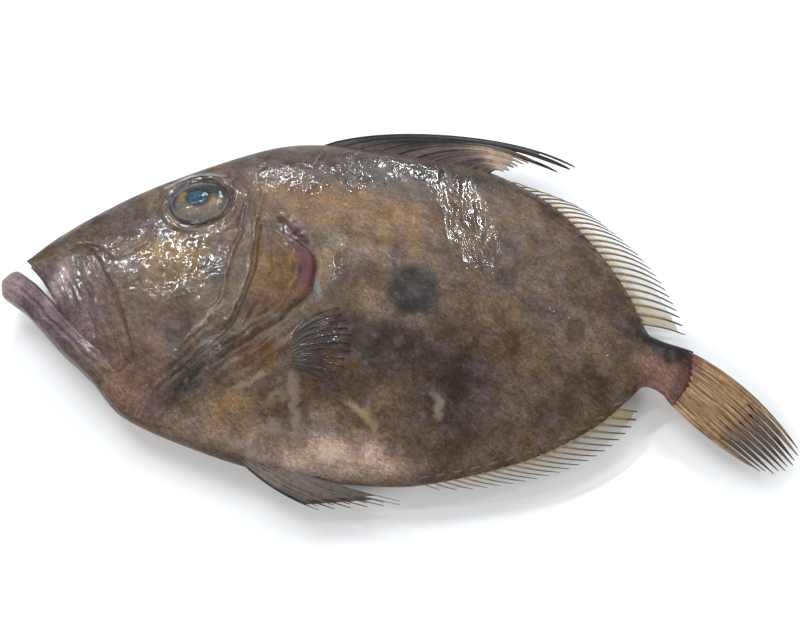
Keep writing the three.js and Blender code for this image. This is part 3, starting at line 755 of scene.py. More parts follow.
def paint_spot(tree, colour, place, ragged):
    """The dark thumbprint, paler in its heart and inside a pale halo."""
    halo = soft_patch(tree, ragged, (22.6, 7.6), (20, 21), 9, 0.28)
    colour = stain(tree, colour, halo, (0.150, 0.115, 0.092), 0.6)
    nearly_even = node(tree, "ShaderNodeMix", {0: 0.35, 4: place, 5: ragged}, data_type="VECTOR").outputs[1]
    spot = soft_patch(tree, nearly_even, (22.6, 7.6), (13.6, 15.2), 9, 0.26)
    heart = soft_patch(tree, nearly_even, (23.5, 7.4), (7.0, 7.5), 9, 0.9)
    return stain(tree, colour, spot, blend(tree, heart, (0.019, 0.018, 0.015), (0.050, 0.046, 0.050)), 0.95)


def paint_grain(tree, colour, place):
    """Clouds, grain and dark threads. The grain runs down towards the tail, twice as long as it is wide."""
    clouds = step(tree, mottle(tree, place, 8.0, 2.8, 9.0), 0.40, 1.0)
    colour = stain(tree, colour, clouds, (0.175, 0.143, 0.150), 0.36)
    grain = vector_maths(tree, "MULTIPLY", turn_flat(tree, place, 0.45), (0.5, 1.0, 1.0))
    for vector, size, contrast, seed, low, high in (
        (place, 14.0, 4.6, 4.0, (0.62, 0.60, 0.59), (1.15, 1.14, 1.13)),
        (grain, 5.0, 4.0, 5.0, (1.03, 0.96, 0.88), (0.99, 1.04, 1.12)),
        (grain, 2.0, 3.6, 6.0, (0.78, 0.78, 0.79), (1.24, 1.23, 1.22)),
        (grain, 0.7, 4.0, 3.0, (0.68, 0.68, 0.70), (1.34, 1.33, 1.31)),
    ):
        colour = shade(tree, colour, mottle(tree, vector, size, contrast, seed), low, high)
    winding = maths(tree, "ABSOLUTE", maths(tree, "SUBTRACT", mottle(tree, place, 10.0, 1.0, 8.0), 0.5))
    threads = maths(tree, "MULTIPLY", step(tree, winding, 0.014, 0.0), mottle(tree, place, 16.0, 3.0, 10.0))
    return stain(tree, colour, threads, (0.040, 0.030, 0.027), 0.45)


def build_skin():
    material, tree, shader, (place, ragged) = wet_material(
        "fish_skin", (0.30, 0.48), 0.15, 0.008, skin_wet_zones
    )
    colour = blend(tree, mottle(tree, place, 30.0, 3.0, 1.0), BROWN, VIOLET_GREY)
    colour = stain(tree, colour, mottle(tree, place, 15.0, 4.0, 2.0), OLIVE, 0.8)
    colour = paint_patches(tree, colour, ragged, FLANK_PATCHES + HEAD_PATCHES + TAIL_ROOT_PATCHES)
    colour = paint_spot(tree, colour, place, ragged)
    on_jaw = soft_patch(tree, ragged, (-178, -34), (44, 40), 0, 0.6)
    colour = shade(tree, colour, on_jaw, (1.03, 0.96, 0.85), (1.06, 1.03, 1.12))
    colour = paint_grain(tree, colour, place)
    colour = paint_patches(tree, colour, ragged, SKIN_MARKS)

    # Painted shade darkens the creases, blood shows by the gills, and painted shade turns what faces the back
    # edge nearly black.
    marks = node(tree, "ShaderNodeSeparateXYZ", {0: marked(tree, "crease_shade_wet_blood")}).outputs
    colour = stain(tree, colour, marks["Z"], BLOOD, 0.85)
    colour = shade(tree, colour, marks["X"], (0.74, 0.73, 0.73), (0.16, 0.15, 0.16))
    normal = node(tree, "ShaderNodeNewGeometry").outputs["Normal"]
    facing = node(tree, "ShaderNodeSeparateXYZ", {0: normal}).outputs["Y"]
    painted_back_shade = node(tree, "ShaderNodeMapRange", {"Value": facing, "From Min": 0.42, "From Max": 0.9})
    colour = stain(tree, colour, painted_back_shade.outputs["Result"], (0.050, 0.048, 0.048), 0.8)
    tree.links.new(colour, shader.inputs["Base Color"])
    return material


def crease_shade_wet_blood(x, y):
    """What the head's relief does to the look of its skin, each 0 to 1: how much painted shade darkens a
    place in a crease or groove, how wet and bright it stands out, and how much blood shows through it by the
    gills."""
    rim = rim_distance(x, y)
    x, y = wavered(x, y)
    cover_depth = depth_inside(GILL_COVER, x, y)
    jaw_depth = depth_inside(UPPER_JAW, x, y)
    shade_under_cover = ease(-20, -34, x) * ease(-40, -20, y) * band(cover_depth, -0.9, 0.8)
    # Painted shade: dark lines in the jaw's groove, along the lip's seam, below the snout fold, behind the
    # cheek ridges and the gill bone, under the gill cover's edge, along the throat, in the gill slit and
    # round the eyeball's rim.
    dark = [
        0.95 * ridge(JAW_EDGE, 0.75, x - 0.8, y, 0.08), 0.3 * ridge(LIP_SEAM, 1.2, x, y),
        0.5 * ridge(SNOUT_FOLD, 1.3, x, y + 2.3), 0.35 * ridge(CHEEK_RIDGE_FRONT, 1.0, x - 1.8, y),
        0.45 * ridge(CHEEK_RIDGE_REAR, 1.1, x - 2.0, y), 0.7 * shade_under_cover,
        0.4 * ridge(THROAT_EDGE, 2.0, x, y, 0.3), 0.85 * ridge(GILL_SLIT, 2.2, x, y, 0.3),
        0.55 * ridge(GILL_BONE, 0.9, x - 1.0, y), 0.8 * band(rim, 0.1, 0.9), 0.5 * ease(0.4, -0.6, rim),
    ]
    wet = [
        ridge(SNOUT_FOLD, 3, x, y), ridge(BROW, 3, x, y), 0.6 * ridge(CHEEK_RIDGE_FRONT, 2.2, x, y),
        0.6 * ridge(CHEEK_RIDGE_REAR, 2.2, x, y), 0.6 * ridge(THROAT_EDGE, 5, x + 3, y - 4),
        0.9 * ease(-1, 1, jaw_depth) * ridge(LIP_SEAM, 9, x + 4, y + 2), ridge(GILL_SLIT, 6, x, y),
        patch((-150, 9), (26, 12), x, y, -10), band(rim, 2.2, 2.2),
    ]
    blood = ease(-1.2, -0.4, cover_depth) * ease(9.5, 4.5, cover_depth) * ease(-9, 2, y) * ease(-54, -40, x)
    uneven = np.clip(0.62 + 0.9 * ripple(x, y, (8, 8), 51.0), 0.2, 1)
    return np.stack([np.max(dark, axis=0) * uneven, np.max(wet, axis=0), blood], axis=-1)


fish_skin = build_skin()

# ----------------------------------------------------------------------------- the lower jaw and mouth
# The lower jaw is a bony trough that hinges at the throat and juts out past the upper lip when it hangs open.
# It is one piece with the head. Inside, the mouth is lined with thin pink flesh.

CHIN_X, JAW_HINGE_X = -204, -96
JAW_TOP = [
    (CHIN_X, -17), (-200, -12), (-196, -11), (-182, -17), (-165, -30), (-140, -47), (JAW_HINGE_X, -58),
]
JAW_FLOOR = [
    (CHIN_X, -20), (-202, -26), (-198, -28.5), (-186, -34.5), (-165, -50.5), (-142, -65.5), (-125, -80),
    (-112, -85), (JAW_HINGE_X, -82),
]
JAW_HALF_THICKNESS = [
    (CHIN_X, 4), (-199, 7.5), (-180, 10.5), (-150, 13), (-132, 12.5), (-118, 10), (JAW_HINGE_X, 5),
]
JAW_SHARPNESS = [(CHIN_X, 0.6), (-150, 0.5), (-120, 0.8), (JAW_HINGE_X, 1)]
MOUTH_CENTRE, MOUTH_HALF_SIZE = np.array((-168, -29, MIDPLANE)), np.array((50, 7.5, 8))
MOUTH_SLANT = math.radians(-39)


def jaw_place(x, share):
    top, floor = smooth_line(JAW_TOP)(x), smooth_line(JAW_FLOOR)(x)
    sharpness = smooth_line(JAW_SHARPNESS)(x)
    out = smooth_line(JAW_HALF_THICKNESS)(x) * np.maximum(1 - share**2, 0) ** (sharpness / 2)
    return floor + (top - floor) * (share + 1) / 2, out


jaw_rings, jaw_share = flank_rings(np.linspace(CHIN_X + 0.4, JAW_HINGE_X - 0.4, 130), 60, 40, jaw_place)
jaw_x, jaw_y = jaw_rings[..., 0], jaw_rings[..., 1]
jaw_wave = ripple(jaw_x, jaw_y, (26, 14), 12.0)
lengthwise = 0.36 * np.sin(4.2 * math.pi * jaw_share + 0.5 + 2.2 * jaw_wave)
pleats = ripple(0.62 * jaw_x - 0.78 * jaw_y, 0.78 * jaw_x + 0.62 * jaw_y, (24, 2.6), 13.0)
jaw_relief = lengthwise * ease(CHIN_X, CHIN_X + 14, jaw_x) + 0.45 * jaw_wave + 0.22 * pleats
jaw_relief *= ease(1.0, 0.9, np.abs(jaw_share)) * ease(-100, -116, jaw_x)
jaw_rings += outward(jaw_rings) * jaw_relief[..., None]
jaw_mesh = closed_grid("lower_jaw", jaw_rings, (CHIN_X, -18.5, MIDPLANE), (JAW_HINGE_X, -70, MIDPLANE))


def ellipsoid_rings(half_size, rings, steps):
    """Points on an ellipsoid round the origin, with its poles on X."""
    leans = np.linspace(0, math.pi, rings + 2)[1:-1]
    turns = np.linspace(0, 2 * math.pi, steps, endpoint=False)
    lean, turn = np.meshgrid(leans, turns, indexing="ij")
    unit = np.stack([-np.cos(lean), np.sin(lean) * np.cos(turn), np.sin(lean) * np.sin(turn)], axis=-1)
    return unit * np.array(half_size)


def combine(target, tool, operation):
    """Fuses or cuts with another closed mesh, which is then thrown away."""
    cut = target.modifiers.new(operation.lower(), "BOOLEAN")
    cut.object, cut.operation, cut.solver = tool, operation, "MANIFOLD"
    evaluated = target.evaluated_get(bpy.context.evaluated_depsgraph_get())
    result = bpy.data.meshes.new_from_object(evaluated)
    target.modifiers.clear()
    target.data = result
    bpy.data.objects.remove(tool)


def build_mouth_lining():
    material, tree, shader, (place, _) = wet_material("mouth_lining", (0.15, 0.32), 0.2, 0.02)
    flesh = blend(tree, mottle(tree, place, 5.0, 2.5, 21.0), (0.26, 0.155, 0.130), (0.14, 0.075, 0.066))
    tree.links.new(flesh, shader.inputs["Base Color"])
    return material


mouth_lining = build_mouth_lining()
body = as_piece("body_and_head", body_mesh, fish_skin)
lower_jaw = as_piece("lower_jaw_form", jaw_mesh, fish_skin)
to_level = np.array(Matrix.Rotation(-MOUTH_SLANT, 3, "Z"))
hollow_rings = ellipsoid_rings(MOUTH_HALF_SIZE, 40, 40) @ to_level + MOUTH_CENTRE
deep = MOUTH_HALF_SIZE[0] * np.array((math.cos(MOUTH_SLANT), math.sin(MOUTH_SLANT), 0))
hollow_mesh = closed_grid("mouth_hollow", hollow_rings, MOUTH_CENTRE - deep, MOUTH_CENTRE + deep)
hollow = as_piece("mouth_hollow", hollow_mesh)
combine(body, lower_jaw, "UNION")
combine(body, hollow, "DIFFERENCE")
body.data.materials.clear()
body.data.materials.append(fish_skin)
body.data.materials.append(mouth_lining)
for face in body.data.polygons:
    offset = to_level @ (np.array(face.center) / MM - MOUTH_CENTRE)
    face.material_index = 1 if np.linalg.norm(offset / MOUTH_HALF_SIZE) < 1.02 else 0
body.data.shade_smooth()
skin_points = np.empty(len(body.data.vertices) * 3)
body.data.vertices.foreach_get("co", skin_points)
skin_points = skin_points.reshape(-1, 3) / MM
layer = body.data.attributes.new("crease_shade_wet_blood", "FLOAT_VECTOR", "POINT")
layer.data.foreach_set("vector", crease_shade_wet_blood(skin_points[:, 0], skin_points[:, 1]).ravel())
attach(body, "root")
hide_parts("fish")

# --------------------------------------------------------------------------------------------- the eyes
# Each eye is a wide oval ball, wet and clear in front. Round a golden-brown iris lie a painted shadow of the
# socket, a pale painted highlight of the wet lid and a dark fold; shade is painted over the eye's top, and
# the pupil has clouded to a dull blue. The eyeballs sit in the orbits' bony rims.

EYE_OUT, EYE_BALL_HALF_OUT = 11.7, 7.5
EYE_TILT, EYE_TURN = math.radians(9), math.radians(6)


# Rings from the rim inwards, as in the folds of a lid: share of the half size, softness and colour. The first
# is a painted shadow of the socket, the second a pale painted highlight of the wet lid, the third a dark
# fold.
EYE_RINGS = [
    (0.93, 0.05, (0.062, 0.062, 0.060)), (0.87, 0.03, (0.150, 0.146, 0.140)),
    (0.83, 0.04, (0.040, 0.042, 0.046)), (0.75, 0.16, (0.096, 0.082, 0.070)),
]
# Patches of the iris: centre, half size, turn, softness, colour and strength.
IRIS_PATCHES = [
    ((2.0, -4.0), (13.0, 8.0), 12, 0.5, (0.165, 0.130, 0.102), 0.9),
    # Painted shadow over the eye's top, under the brow.
    ((1.0, 8.5), (19.0, 7.5), 17, 0.45, (0.034, 0.038, 0.036), 0.95),
    ((-13.0, 0.5), (5.0, 8.0), 10, 0.5, (0.040, 0.046, 0.062), 0.8),
    ((-9.6, -0.6), (3.8, 3.8), 20, 0.45, (0.190, 0.135, 0.055), 0.9),
    ((8.6, 1.4), (5.4, 3.2), 0, 0.6, (0.225, 0.165, 0.115), 0.85),
    ((-0.7, 1.2), (7.2, 5.8), 4, 0.25, (0.018, 0.020, 0.024), 0.85),
]
CRISP = 0.4  # patches of the iris that are softer than this also have ragged edges


def build_eye_material(name):
    material, tree, shader, (place, ragged) = wet_material(name, (0.06, 0.11), 0.20, 0.016)
    eye_x, eye_y = EYE
    colour = (0.026, 0.029, 0.034)
    for share, softness, tint in EYE_RINGS:
        size = (share * EYE_HALF_SIZE[0], share * EYE_HALF_SIZE[1])
        ring = soft_patch(tree, place, (eye_x, eye_y + 1.2), size, math.degrees(EYE_SLANT), softness)
        colour = blend(tree, ring, colour, tint)
    for (x, y), size, turn, softness, tint, strength in IRIS_PATCHES:
        edge_place = ragged if softness > CRISP else place
        mask = soft_patch(tree, edge_place, (eye_x + x, eye_y + y), size, turn, softness)
        colour = stain(tree, colour, mask, tint, strength)
    flecks = mottle(tree, place, 1.8, 3.0, 32.0)
    colour = shade(tree, colour, flecks, (0.72, 0.72, 0.74), (1.24, 1.22, 1.18))
    pupil = soft_patch(tree, place, (eye_x - 0.7, eye_y + 1.2), (5.6, 4.4), 4, 0.30)
    cloud = blend(tree, mottle(tree, place, 2.6, 3.4, 33.0), (0.014, 0.032, 0.050), (0.046, 0.092, 0.125))
    tree.links.new(blend(tree, pupil, colour, cloud), shader.inputs["Base Color"])
    return material


eye_rings = ellipsoid_rings((EYE_BALL_HALF_OUT, EYE_HALF_SIZE[0], EYE_HALF_SIZE[1]), 40, 64)
cornea = 1 + 0.05 * np.exp(-((eye_rings[..., 1] / 9) ** 2) - (eye_rings[..., 2] / 8) ** 2)
eye_rings[..., 0] *= cornea
for node_name, flank in (("eye_left", 1), ("eye_right", -1)):
    stand_up = Matrix(((0, 1, 0), (0, 0, 1), (1, 0, 0)))
    look = (
        Matrix.Rotation(-flank * EYE_TURN, 3, "Y") @ Matrix.Rotation(-flank * EYE_TILT, 3, "X")
        @ Matrix.Rotation(EYE_SLANT, 3, "Z") @ stand_up
    )
    middle = np.array((*EYE, MIDPLANE + flank * EYE_OUT))
    pole = np.array(look @ Vector((EYE_BALL_HALF_OUT * 1.05, 0, 0)))
    rings = eye_rings @ np.array(look).T + middle
    eye = as_piece(f"{node_name}ball", closed_grid(node_name, rings, middle - pole, middle + pole))
    eye.data.materials.append(build_eye_material(f"{node_name}_wet"))
    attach(eye, "root")
    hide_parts(node_name)

# ---------------------------------------------------------------------------------- the fins on the back
# Every fin is a row of thin bony rays joined by clear skin, and grows out of the body. Here the long front
# spines lie folded back in a dark bundle, and the soft rays behind them stand in a comb.


RAY_SAMPLES = 90


def bezier(knots, samples=RAY_SAMPLES):
    """Points along a Bezier curve with three or four knots."""
    t = np.linspace(0, 1, samples)[:, None]
    points = [np.array(knot, float) + 0 * t for knot in knots]
    while len(points) > 1:
        points = [a + (b - a) * t for a, b in zip(points[:-1], points[1:])]
    return points[0]


def bent_ray(root, length, root_heading, tip_heading, drop, samples=60):
    """A ray that leaves its root on one heading, in degrees, and turns steadily to another."""
    headings = [math.radians(heading) for heading in (root_heading, tip_heading)]
    halves = [np.array((math.cos(a), math.sin(a), 0)) * length / 2 for a in headings]
    knee = np.array(root, float) + halves[0]
    return bezier([root, knee, knee + halves[1] - np.array((0, 0, drop))], samples)


OVER_TABLE = 0.02  # the lowest that a fin lies


def fin_mesh(name, rays, root_radius, tip_radius, skin_thickness, notch, rows=26, spread=None):
    """One closed sheet: each ray is a rounded rib that runs on as a free tip, and the thin skin between two
    rays stops at notch, a share of their length. With spread, the ribs are flat bands that take up that share
    of the room between rays. Every point is marked with its nearness to a rib, its share of a ray's length,
    and its place across the fin."""
    rays = [smooth_path(ray, RAY_SAMPLES) for ray in rays]
    v = np.linspace(0, 1, rows)
    columns = []
    for gap in range(len(rays) - 1):
        reach = notch(gap / (len(rays) - 1))
        # Columns of the sheet: the ray, the offset in the rib's half widths, the reach and the rib's rise.
        columns += [
            (gap, 0, 0.0, 1.0, 1.0), (gap, 0, 0.7, 1.0, 0.72), (gap, 0, 1.05, 1.0, 0.0),
            (gap, 0, 1.5, reach, 0.0), (gap, None, 0.5, reach, 0.0), (gap, 1, 1.5, reach, 0.0),
            (gap, 1, 1.05, 1.0, 0.0), (gap, 1, 0.7, 1.0, 0.72),
        ]
    columns.append((len(rays) - 2, 1, 0.0, 1.0, 1.0))
    centres, heights, marks = [], [], []
    for gap, ray, offset, reach, rise in columns:
        t = v * reach
        index = t * (RAY_SAMPLES - 1)
        low = np.minimum(index.astype(int), RAY_SAMPLES - 2)
        part = (index - low)[:, None]
        ends = [r[low] * (1 - part) + r[low + 1] * part for r in rays[gap:gap + 2]]
        spacing = np.linalg.norm(ends[1] - ends[0], axis=1)
        radius = (root_radius + (tip_radius - root_radius) * t) * (0.35 + 0.65 * ease(0, 0.12, t))
        if spread:
            narrowing = (1 - 0.46 * ease(0.42, 0.70, t)) * (1 - 0.92 * ease(0.8, 1, t))
            share = spread * min(offset, 1.08) * narrowing
        else:
            share = np.minimum(offset * radius / np.maximum(spacing, 1e-6), 0.30 * offset)
        across = 0.5 + 0 * t if ray is None else (share if ray == 0 else 1 - share)
        centres.append(ends[0] + (ends[1] - ends[0]) * across[:, None])
        thin = np.minimum(skin_thickness / 2, radius)
        heights.append(thin + (radius - thin) * rise)
        nearness = 1.0 if rise > 0 else (0.6 if reach == 1 else 0.0)
        marks.append(np.c_[np.full(rows, nearness), t, (gap + across) / (len(rays) - 1)])
    centres, heights = np.array(centres), np.array(heights)[..., None]
    up = np.array((0, 0, 1.0))
    count = len(columns)
    sheet = np.arange(count * rows).reshape(count, rows)
    a, b, c, d = sheet[:-1, :-1], sheet[1:, :-1], sheet[1:, 1:], sheet[:-1, 1:]
    border = np.r_[sheet[:, 0], sheet[-1, 1:], sheet[-2::-1, -1], sheet[0, -2:0:-1]]
    onward = np.roll(border, -1)
    under = count * rows
    faces = [np.stack([a, b, c, d], -1).reshape(-1, 4), np.stack([d, c, b, a], -1).reshape(-1, 4) + under]
    faces.append(np.stack([onward, border, border + under, onward + under], -1))
    points = np.concatenate([centres + up * heights, centres - up * heights]).reshape(-1, 3)
    points[:, 2] = np.maximum(points[:, 2], OVER_TABLE)
    mesh = bpy.data.meshes.new(name)
    mesh.from_pydata((points * MM).tolist(), [], np.concatenate(faces).tolist())
    mesh.update()
    layer = mesh.attributes.new("fin_marks", "FLOAT_VECTOR", "POINT")
    layer.data.foreach_set("vector", np.concatenate([np.array(marks).reshape(-1, 3)] * 2).ravel())
    return mesh


def fin_marks(tree):
    """The marks of a fin's sheet: nearness to a rib, share of a ray's length, and place across the fin."""
    return node(tree, "ShaderNodeSeparateXYZ", {0: marked(tree, "fin_marks")}).outputs


def fin_material(name, paint, roughness=(0.22, 0.42)):
    """paint(tree, on_rib, along, across) gives the fin's colour, and how solid its skin is, or None."""
    material, tree, shader, (place, _) = wet_material(name, roughness, 0.10, 0.02)
    marks = fin_marks(tree)
    on_rib = step(tree, marks["X"], 0.25, 0.75)
    jitter = mottle(tree, place, 6.0, 1.2, 41.0)
    along = maths(tree, "ADD", marks["Y"], maths(tree, "MULTIPLY_ADD", jitter, 0.2, -0.1))
    colour, solidity = paint(tree, on_rib, along, marks["Z"])
    mottled = shade(tree, colour, mottle(tree, place, 2.4, 3.0, 42.0), (0.74, 0.74, 0.74), (1.28, 1.28, 1.28))
    tree.links.new(mottled, shader.inputs["Base Color"])
    if solidity is not None:
        tree.links.new(mix_values(tree, on_rib, solidity, 1.0), shader.inputs["Alpha"])
    return material


def streaks(tree, across, along, count, contrast):
    """Fine streaks that run along the rays: 0 to 1."""
    vector = node(tree, "ShaderNodeCombineXYZ", {
        0: maths(tree, "MULTIPLY", across, count), 1: maths(tree, "MULTIPLY", along, 2.5), 2: 0.0,
    }).outputs[0]
    lines = node(tree, "ShaderNodeTexNoise", {"Vector": vector, "Scale": 1.0, "Detail": 2.0}).outputs["Fac"]
    return maths(tree, "MULTIPLY_ADD", maths(tree, "SUBTRACT", lines, 0.5), contrast, 0.5, clamp=True)


def grow(name, mesh, material):
    fin = as_piece(name, mesh, material)
    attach(fin, "root")
    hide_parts("fish")
    return fin


def mix(a, b, share):
    return a + (b - a) * share


SPINE_TIPS = [
    (101, 106), (98, 103.5), (91, 101), (78, 105), (74, 104), (71, 102.5), (68, 101), (66, 99.5),
    (63.5, 97.5), (60.5, 95.5),
]


def paint_spiny_fin(tree, on_rib, along, across):
    """The leading spines and their skin are nearly black, and the ones behind them are tan and pinkish."""
    lines = streaks(tree, across, along, 34.0, 3.0)
    dark = blend(tree, lines, (0.009, 0.008, 0.008), (0.034, 0.030, 0.027))
    root_tan = blend(tree, lines, (0.034, 0.025, 0.022), (0.098, 0.072, 0.064))
    tip_tan = blend(tree, lines, (0.190, 0.125, 0.080), (0.430, 0.320, 0.225))
    tan = blend(tree, step(tree, along, 0.40, 0.80), root_tan, tip_tan)
    front = step(tree, maths(tree, "MULTIPLY_ADD", along, 0.16, across), 0.52, 0.42)
    leading = maths(tree, "MULTIPLY", front, step(tree, along, 0.06, 0.26))
    return blend(tree, leading, tan, dark), step(tree, along, 1.6, 0.4)


spines = []
for i, (tip_x, tip_y) in enumerate(SPINE_TIPS):
    share = i / 9
    root_x = mix(-52, 50, share)
    root = np.array((root_x, back_line(root_x) - 4, MIDPLANE))
    tip = np.array((tip_x, tip_y, MIDPLANE + 3 + i % 2))
    rise = np.array((mix(28, 5, share), mix(23, 4, share), 3))
    fall = np.array((mix(-34, -5, share), mix(17, 2, share), 0))
    spines.append(bezier([root, root + rise, tip + fall, tip]))


def spiny_notch(share):
    return mix(0.86, 0.72, ease(0, 0.2, share)) + 0.2 * ease(0.3, 0.5, share)


spiny_mesh = fin_mesh("spiny_fin", spines, 1.4, 0.40, 0.9, spiny_notch, 60)
grow("spiny_fin", spiny_mesh, fin_material("spiny_fin", paint_spiny_fin, (0.30, 0.46)))


def paint_soft_fin(tree, on_rib, along, across):
    """Golden rays that darken to their tips. The skin between them is as clear as a wet film, except behind
    the last ray."""
    rib = blend(tree, step(tree, along, 0.25, 0.90), (0.250, 0.170, 0.085), (0.070, 0.052, 0.038))
    web = blend(tree, step(tree, across, 0.80, 0.95), (0.340, 0.250, 0.135), (0.300, 0.235, 0.095))
    colour = blend(tree, on_rib, web, rib)
    thin = blend(tree, step(tree, along, 0.0, 0.35), (0.55,) * 3, (0.09,) * 3)
    last = maths(tree, "MULTIPLY", step(tree, across, 0.86, 0.97), 0.40)
    return colour, maths(tree, "MAXIMUM", thin, last)


def ray_row(name, material, count, edge, stretch, sunk, length, headings, drop, notch, crowding=1.0):
    """A row of rays that leave the body's edge side by side, along a stretch of X, and bend towards the tail.
    headings are the directions of root and tip."""
    rays = []
    for i in range(count):
        share = i / (count - 1)
        x = mix(*stretch, share**crowding)
        root = (x, edge(x) - sunk, MIDPLANE)
        rays.append(bent_ray(root, length(share), headings[0](share), headings[1](share), drop))
    return grow(name, fin_mesh(name, rays, 1.05, 0.34, 0.30, notch), material)


soft_fin_material = fin_material("soft_fin", paint_soft_fin)
ray_row(
    "soft_back_fin", soft_fin_material, 24, back_line, (62, 147.5), 3,
    smooth_line([(0, 14), (0.18, 26), (0.35, 29), (0.55, 34), (0.75, 33), (1, 26)]),
    (lambda share: mix(23, 4, ease(0.1, 1, share)), smooth_line([(0, -8), (0.4, -20), (0.75, -20), (1, -6)])),
    4, lambda share: mix(0.72, 0.84, ease(0.8, 1, share)), 0.85,
)

# ------------------------------------------------------------------------------------ the anal fin
# The fin under the tail matches the soft fin on the back. It lies half folded against the belly's edge.

ray_row(
    "anal_fin", soft_fin_material, 21, keel_line, (40, 139), -3,
    lambda share: 14 + 17 * math.sin(math.pi * share) ** 0.7 if 0 < share < 1 else 14.0,
    (lambda share: mix(-14, 2, share), lambda share: mix(8, 20, share)),
    7, lambda share: 0.8,
)

# ------------------------------------------------------------------------------------ the tail fin
# The tail fin is nearly shut. Its golden rays branch into flat strands that lie side by side, part into
# narrow slits towards the end, and go dark at their tips. Their roots run in under the skin.

TAIL_TIPS = [
    (240.5, -36), (240.8, -40), (239, -43), (238.6, -46), (235.5, -47), (234.5, -49.5), (231, -50.2),
    (228.5, -52.2), (224, -51.6), (221, -52), (216, -50),
]


def paint_tail_fin(tree, on_rib, along, across):
    lines = streaks(tree, across, along, 62.0, 4.0)
    gold = blend(tree, lines, (0.092, 0.050, 0.024), (0.430, 0.272, 0.144))
    dark = blend(tree, lines, (0.030, 0.023, 0.019), (0.125, 0.090, 0.066))
    middle = maths(tree, "MULTIPLY", step(tree, across, 0.02, 0.16), step(tree, across, 0.98, 0.80))
    ragged = maths(tree, "MULTIPLY_ADD", lines, 0.16, along)
    to_dark = maths(tree, "MULTIPLY", step(tree, ragged, 0.60, 0.80), middle)
    at_root = step(tree, along, 0.20, 0.08)
    colour = blend(tree, to_dark, gold, dark)
    return blend(tree, at_root, colour, (0.140, 0.055, 0.050)), None


tail_rays = []
for i, (tip_x, tip_y) in enumerate(TAIL_TIPS):
    share = i / (len(TAIL_TIPS) - 1)
    root = np.array((mix(172, 163, share), mix(5.9, -20.8, share), MIDPLANE))
    tip = np.array((tip_x, tip_y, MIDPLANE - 12))
    bulge = mix(10.5, -7.5, share)
    knee = (root + tip) / 2 + np.array((0.50, 0.85, 0)) * bulge + np.array((0, 0, 5))
    tail_rays.append(bezier([root, knee, tip]))
SLIT_STARTS = [0.62, 0.54, 0.58, 0.46, 0.56, 0.45, 0.52, 0.62, 0.58, 0.70]


def tail_notch(share):
    return SLIT_STARTS[round(share * len(SLIT_STARTS))]


tail_mesh = fin_mesh("tail_fin", tail_rays, 1.7, 0.5, 1.3, tail_notch, 56, 0.455)
grow("tail_fin", tail_mesh, fin_material("tail_fin", paint_tail_fin))

# ------------------------------------------------------------------------------------ the side fins
# A small fan of dark rays and clear skin spreads on each flank behind the gills. The one underneath is
# pressed into the flank.

PECTORAL_RAYS = 11


def pectoral_fan(height, rise):
    fan = []
    for i in range(PECTORAL_RAYS):
        share = i / (PECTORAL_RAYS - 1)
        root = (mix(-38, -36.5, share), mix(-31.5, -46.5, share), 0)
        length = mix(34, 26, share) + 5 * math.sin(math.pi * share) - 1.5 * (i % 2)
        flat = bent_ray(root, length, mix(62, -2, share), mix(22, -10, share), 0)
        travel = np.linspace(0, 1, len(flat))
        out = height(flat[:, 0], flat[:, 1]) + rise * (np.sin(math.pi * travel) - 1.2 * ease(0.22, 0, travel))
        fan.append(np.c_[flat[:, :2], out])
    return fan


def paint_side_fin(tree, on_rib, along, across):
    rib = blend(tree, step(tree, along, 0.10, 0.45), (0.075, 0.056, 0.050), (0.020, 0.013, 0.015))
    solidity = maths(tree, "MULTIPLY", step(tree, along, 0.8, 0.0), 0.45)
    return blend(tree, on_rib, (0.085, 0.064, 0.056), rib), solidity


pectoral_material = fin_material("side_fin", paint_side_fin, (0.07, 0.20))
upper_fan = pectoral_fan(lambda x, y: MIDPLANE + flank_height(x, y) + 0.6, 1.2)
under_fan = pectoral_fan(lambda x, y: 0.45 + 0 * x, 0.0)
for name, fan, tip_radius, skin_thickness in (
    ("side_fin_left", upper_fan, 0.26, 0.22), ("side_fin_right", under_fan, 0.4, 0.5),
):
    side_mesh = fin_mesh(name, fan, 0.42, tip_radius, skin_thickness, lambda share: 0.84)
    grow(name, side_mesh, pectoral_material)

# ------------------------------------------------------------------------------------ the belly fins
# Two narrow fins leave the belly behind the gills and lie folded back along the keel.


def paint_belly_fin(tree, on_rib, along, across):
    lines = streaks(tree, across, along, 22.0, 3.0)
    root = blend(tree, lines, (0.100, 0.080, 0.068), (0.170, 0.135, 0.112))
    tip = blend(tree, lines, (0.058, 0.048, 0.042), (0.125, 0.102, 0.086))
    return blend(tree, step(tree, along, 0.25, 0.8), root, tip), None


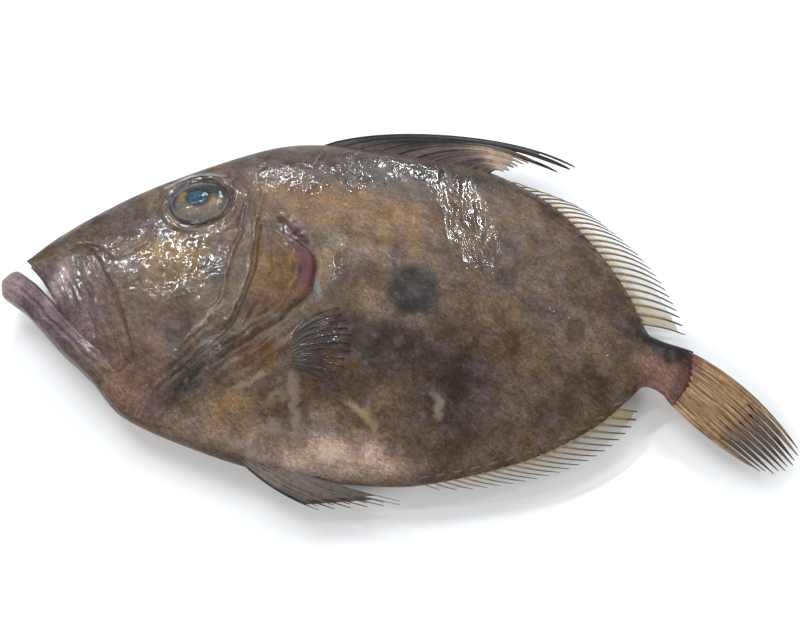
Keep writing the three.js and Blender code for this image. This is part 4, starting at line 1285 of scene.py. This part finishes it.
belly_fin_material = fin_material("belly_fin", paint_belly_fin)
for side_name, flank in (("left", 1), ("right", -1)):
    rays = []
    for i in range(6):
        share = i / 5
        root = np.array((mix(-54, -44, 1 - share), mix(-93, -95, share), MIDPLANE + flank * 3.5))
        tip = np.array((mix(34, -8, share), mix(-103, -113, share), MIDPLANE + flank * 4 - 5))
        knee = mix(root, tip, 0.45) + np.array((0, mix(-4, -6, share), flank * 2))
        rays.append(bezier([root, knee, tip]))
    name = f"belly_fin_{side_name}"
    grow(name, fin_mesh(name, rays, 1.1, 0.4, 0.7, lambda share: 0.84, 40), belly_fin_material)

# ------------------------------------------------------------------------------------ the thorns
# Small bony thorns stand along both sides of the two soft fins' roots and point back.


def thorn_points(x, y, height, heading, flank):
    """A low curved cone that lies back along the skin: rings of points from its foot to its tip."""
    forward = np.array((math.cos(heading), math.sin(heading), 0))
    across = np.array((-forward[1], forward[0], 0))
    up = np.array((0, 0, flank))
    rings = []
    for t in np.linspace(0, 1, 7):
        middle = np.array((x, y, height)) + forward * (6 * t - 2.4) + up * (0.4 + 1.6 * t**1.5 - 1.0)
        radius = 1.35 * (1 - t) ** 0.8 + 0.10
        rings.append([
            middle + across * radius * math.cos(a) + up * radius * 0.8 * math.sin(a)
            for a in np.linspace(0, 2 * math.pi, 12, endpoint=False)
        ])
    return np.array(rings)


thorn_meshes = []
for edge, inward_y, first_x, last_x, heading in (
    (back_line, -3.2, 63, 146, -34), (keel_line, 3.2, 44, 140, 24),
):
    for flank in (1, -1):
        for x in np.linspace(first_x, last_x, 12):
            y = edge(x) + inward_y
            height = MIDPLANE + flank * flank_height(x, y)
            rings = thorn_points(x, y, height, math.radians(heading), flank)
            thorn_meshes.append(closed_grid("thorn", rings, rings[0].mean(0), rings[-1].mean(0)))


def build_thorn_material():
    material, tree, shader, (place, _) = wet_material("thorn", (0.22, 0.4), 0.1, 0.02)
    colour = blend(tree, mottle(tree, place, 3.5, 3.4, 51.0), (0.052, 0.036, 0.030), (0.125, 0.082, 0.066))
    tree.links.new(colour, shader.inputs["Base Color"])
    return material


thorn_mesh = bpy.data.meshes.new("thorns")
thorn_vertices, thorn_faces = [], []
for mesh in thorn_meshes:
    start = len(thorn_vertices)
    thorn_vertices += [tuple(vertex.co) for vertex in mesh.vertices]
    thorn_faces += [[start + index for index in face.vertices] for face in mesh.polygons]
    bpy.data.meshes.remove(mesh)
thorn_mesh.from_pydata(thorn_vertices, [], thorn_faces)
grow("thorns", thorn_mesh, build_thorn_material())
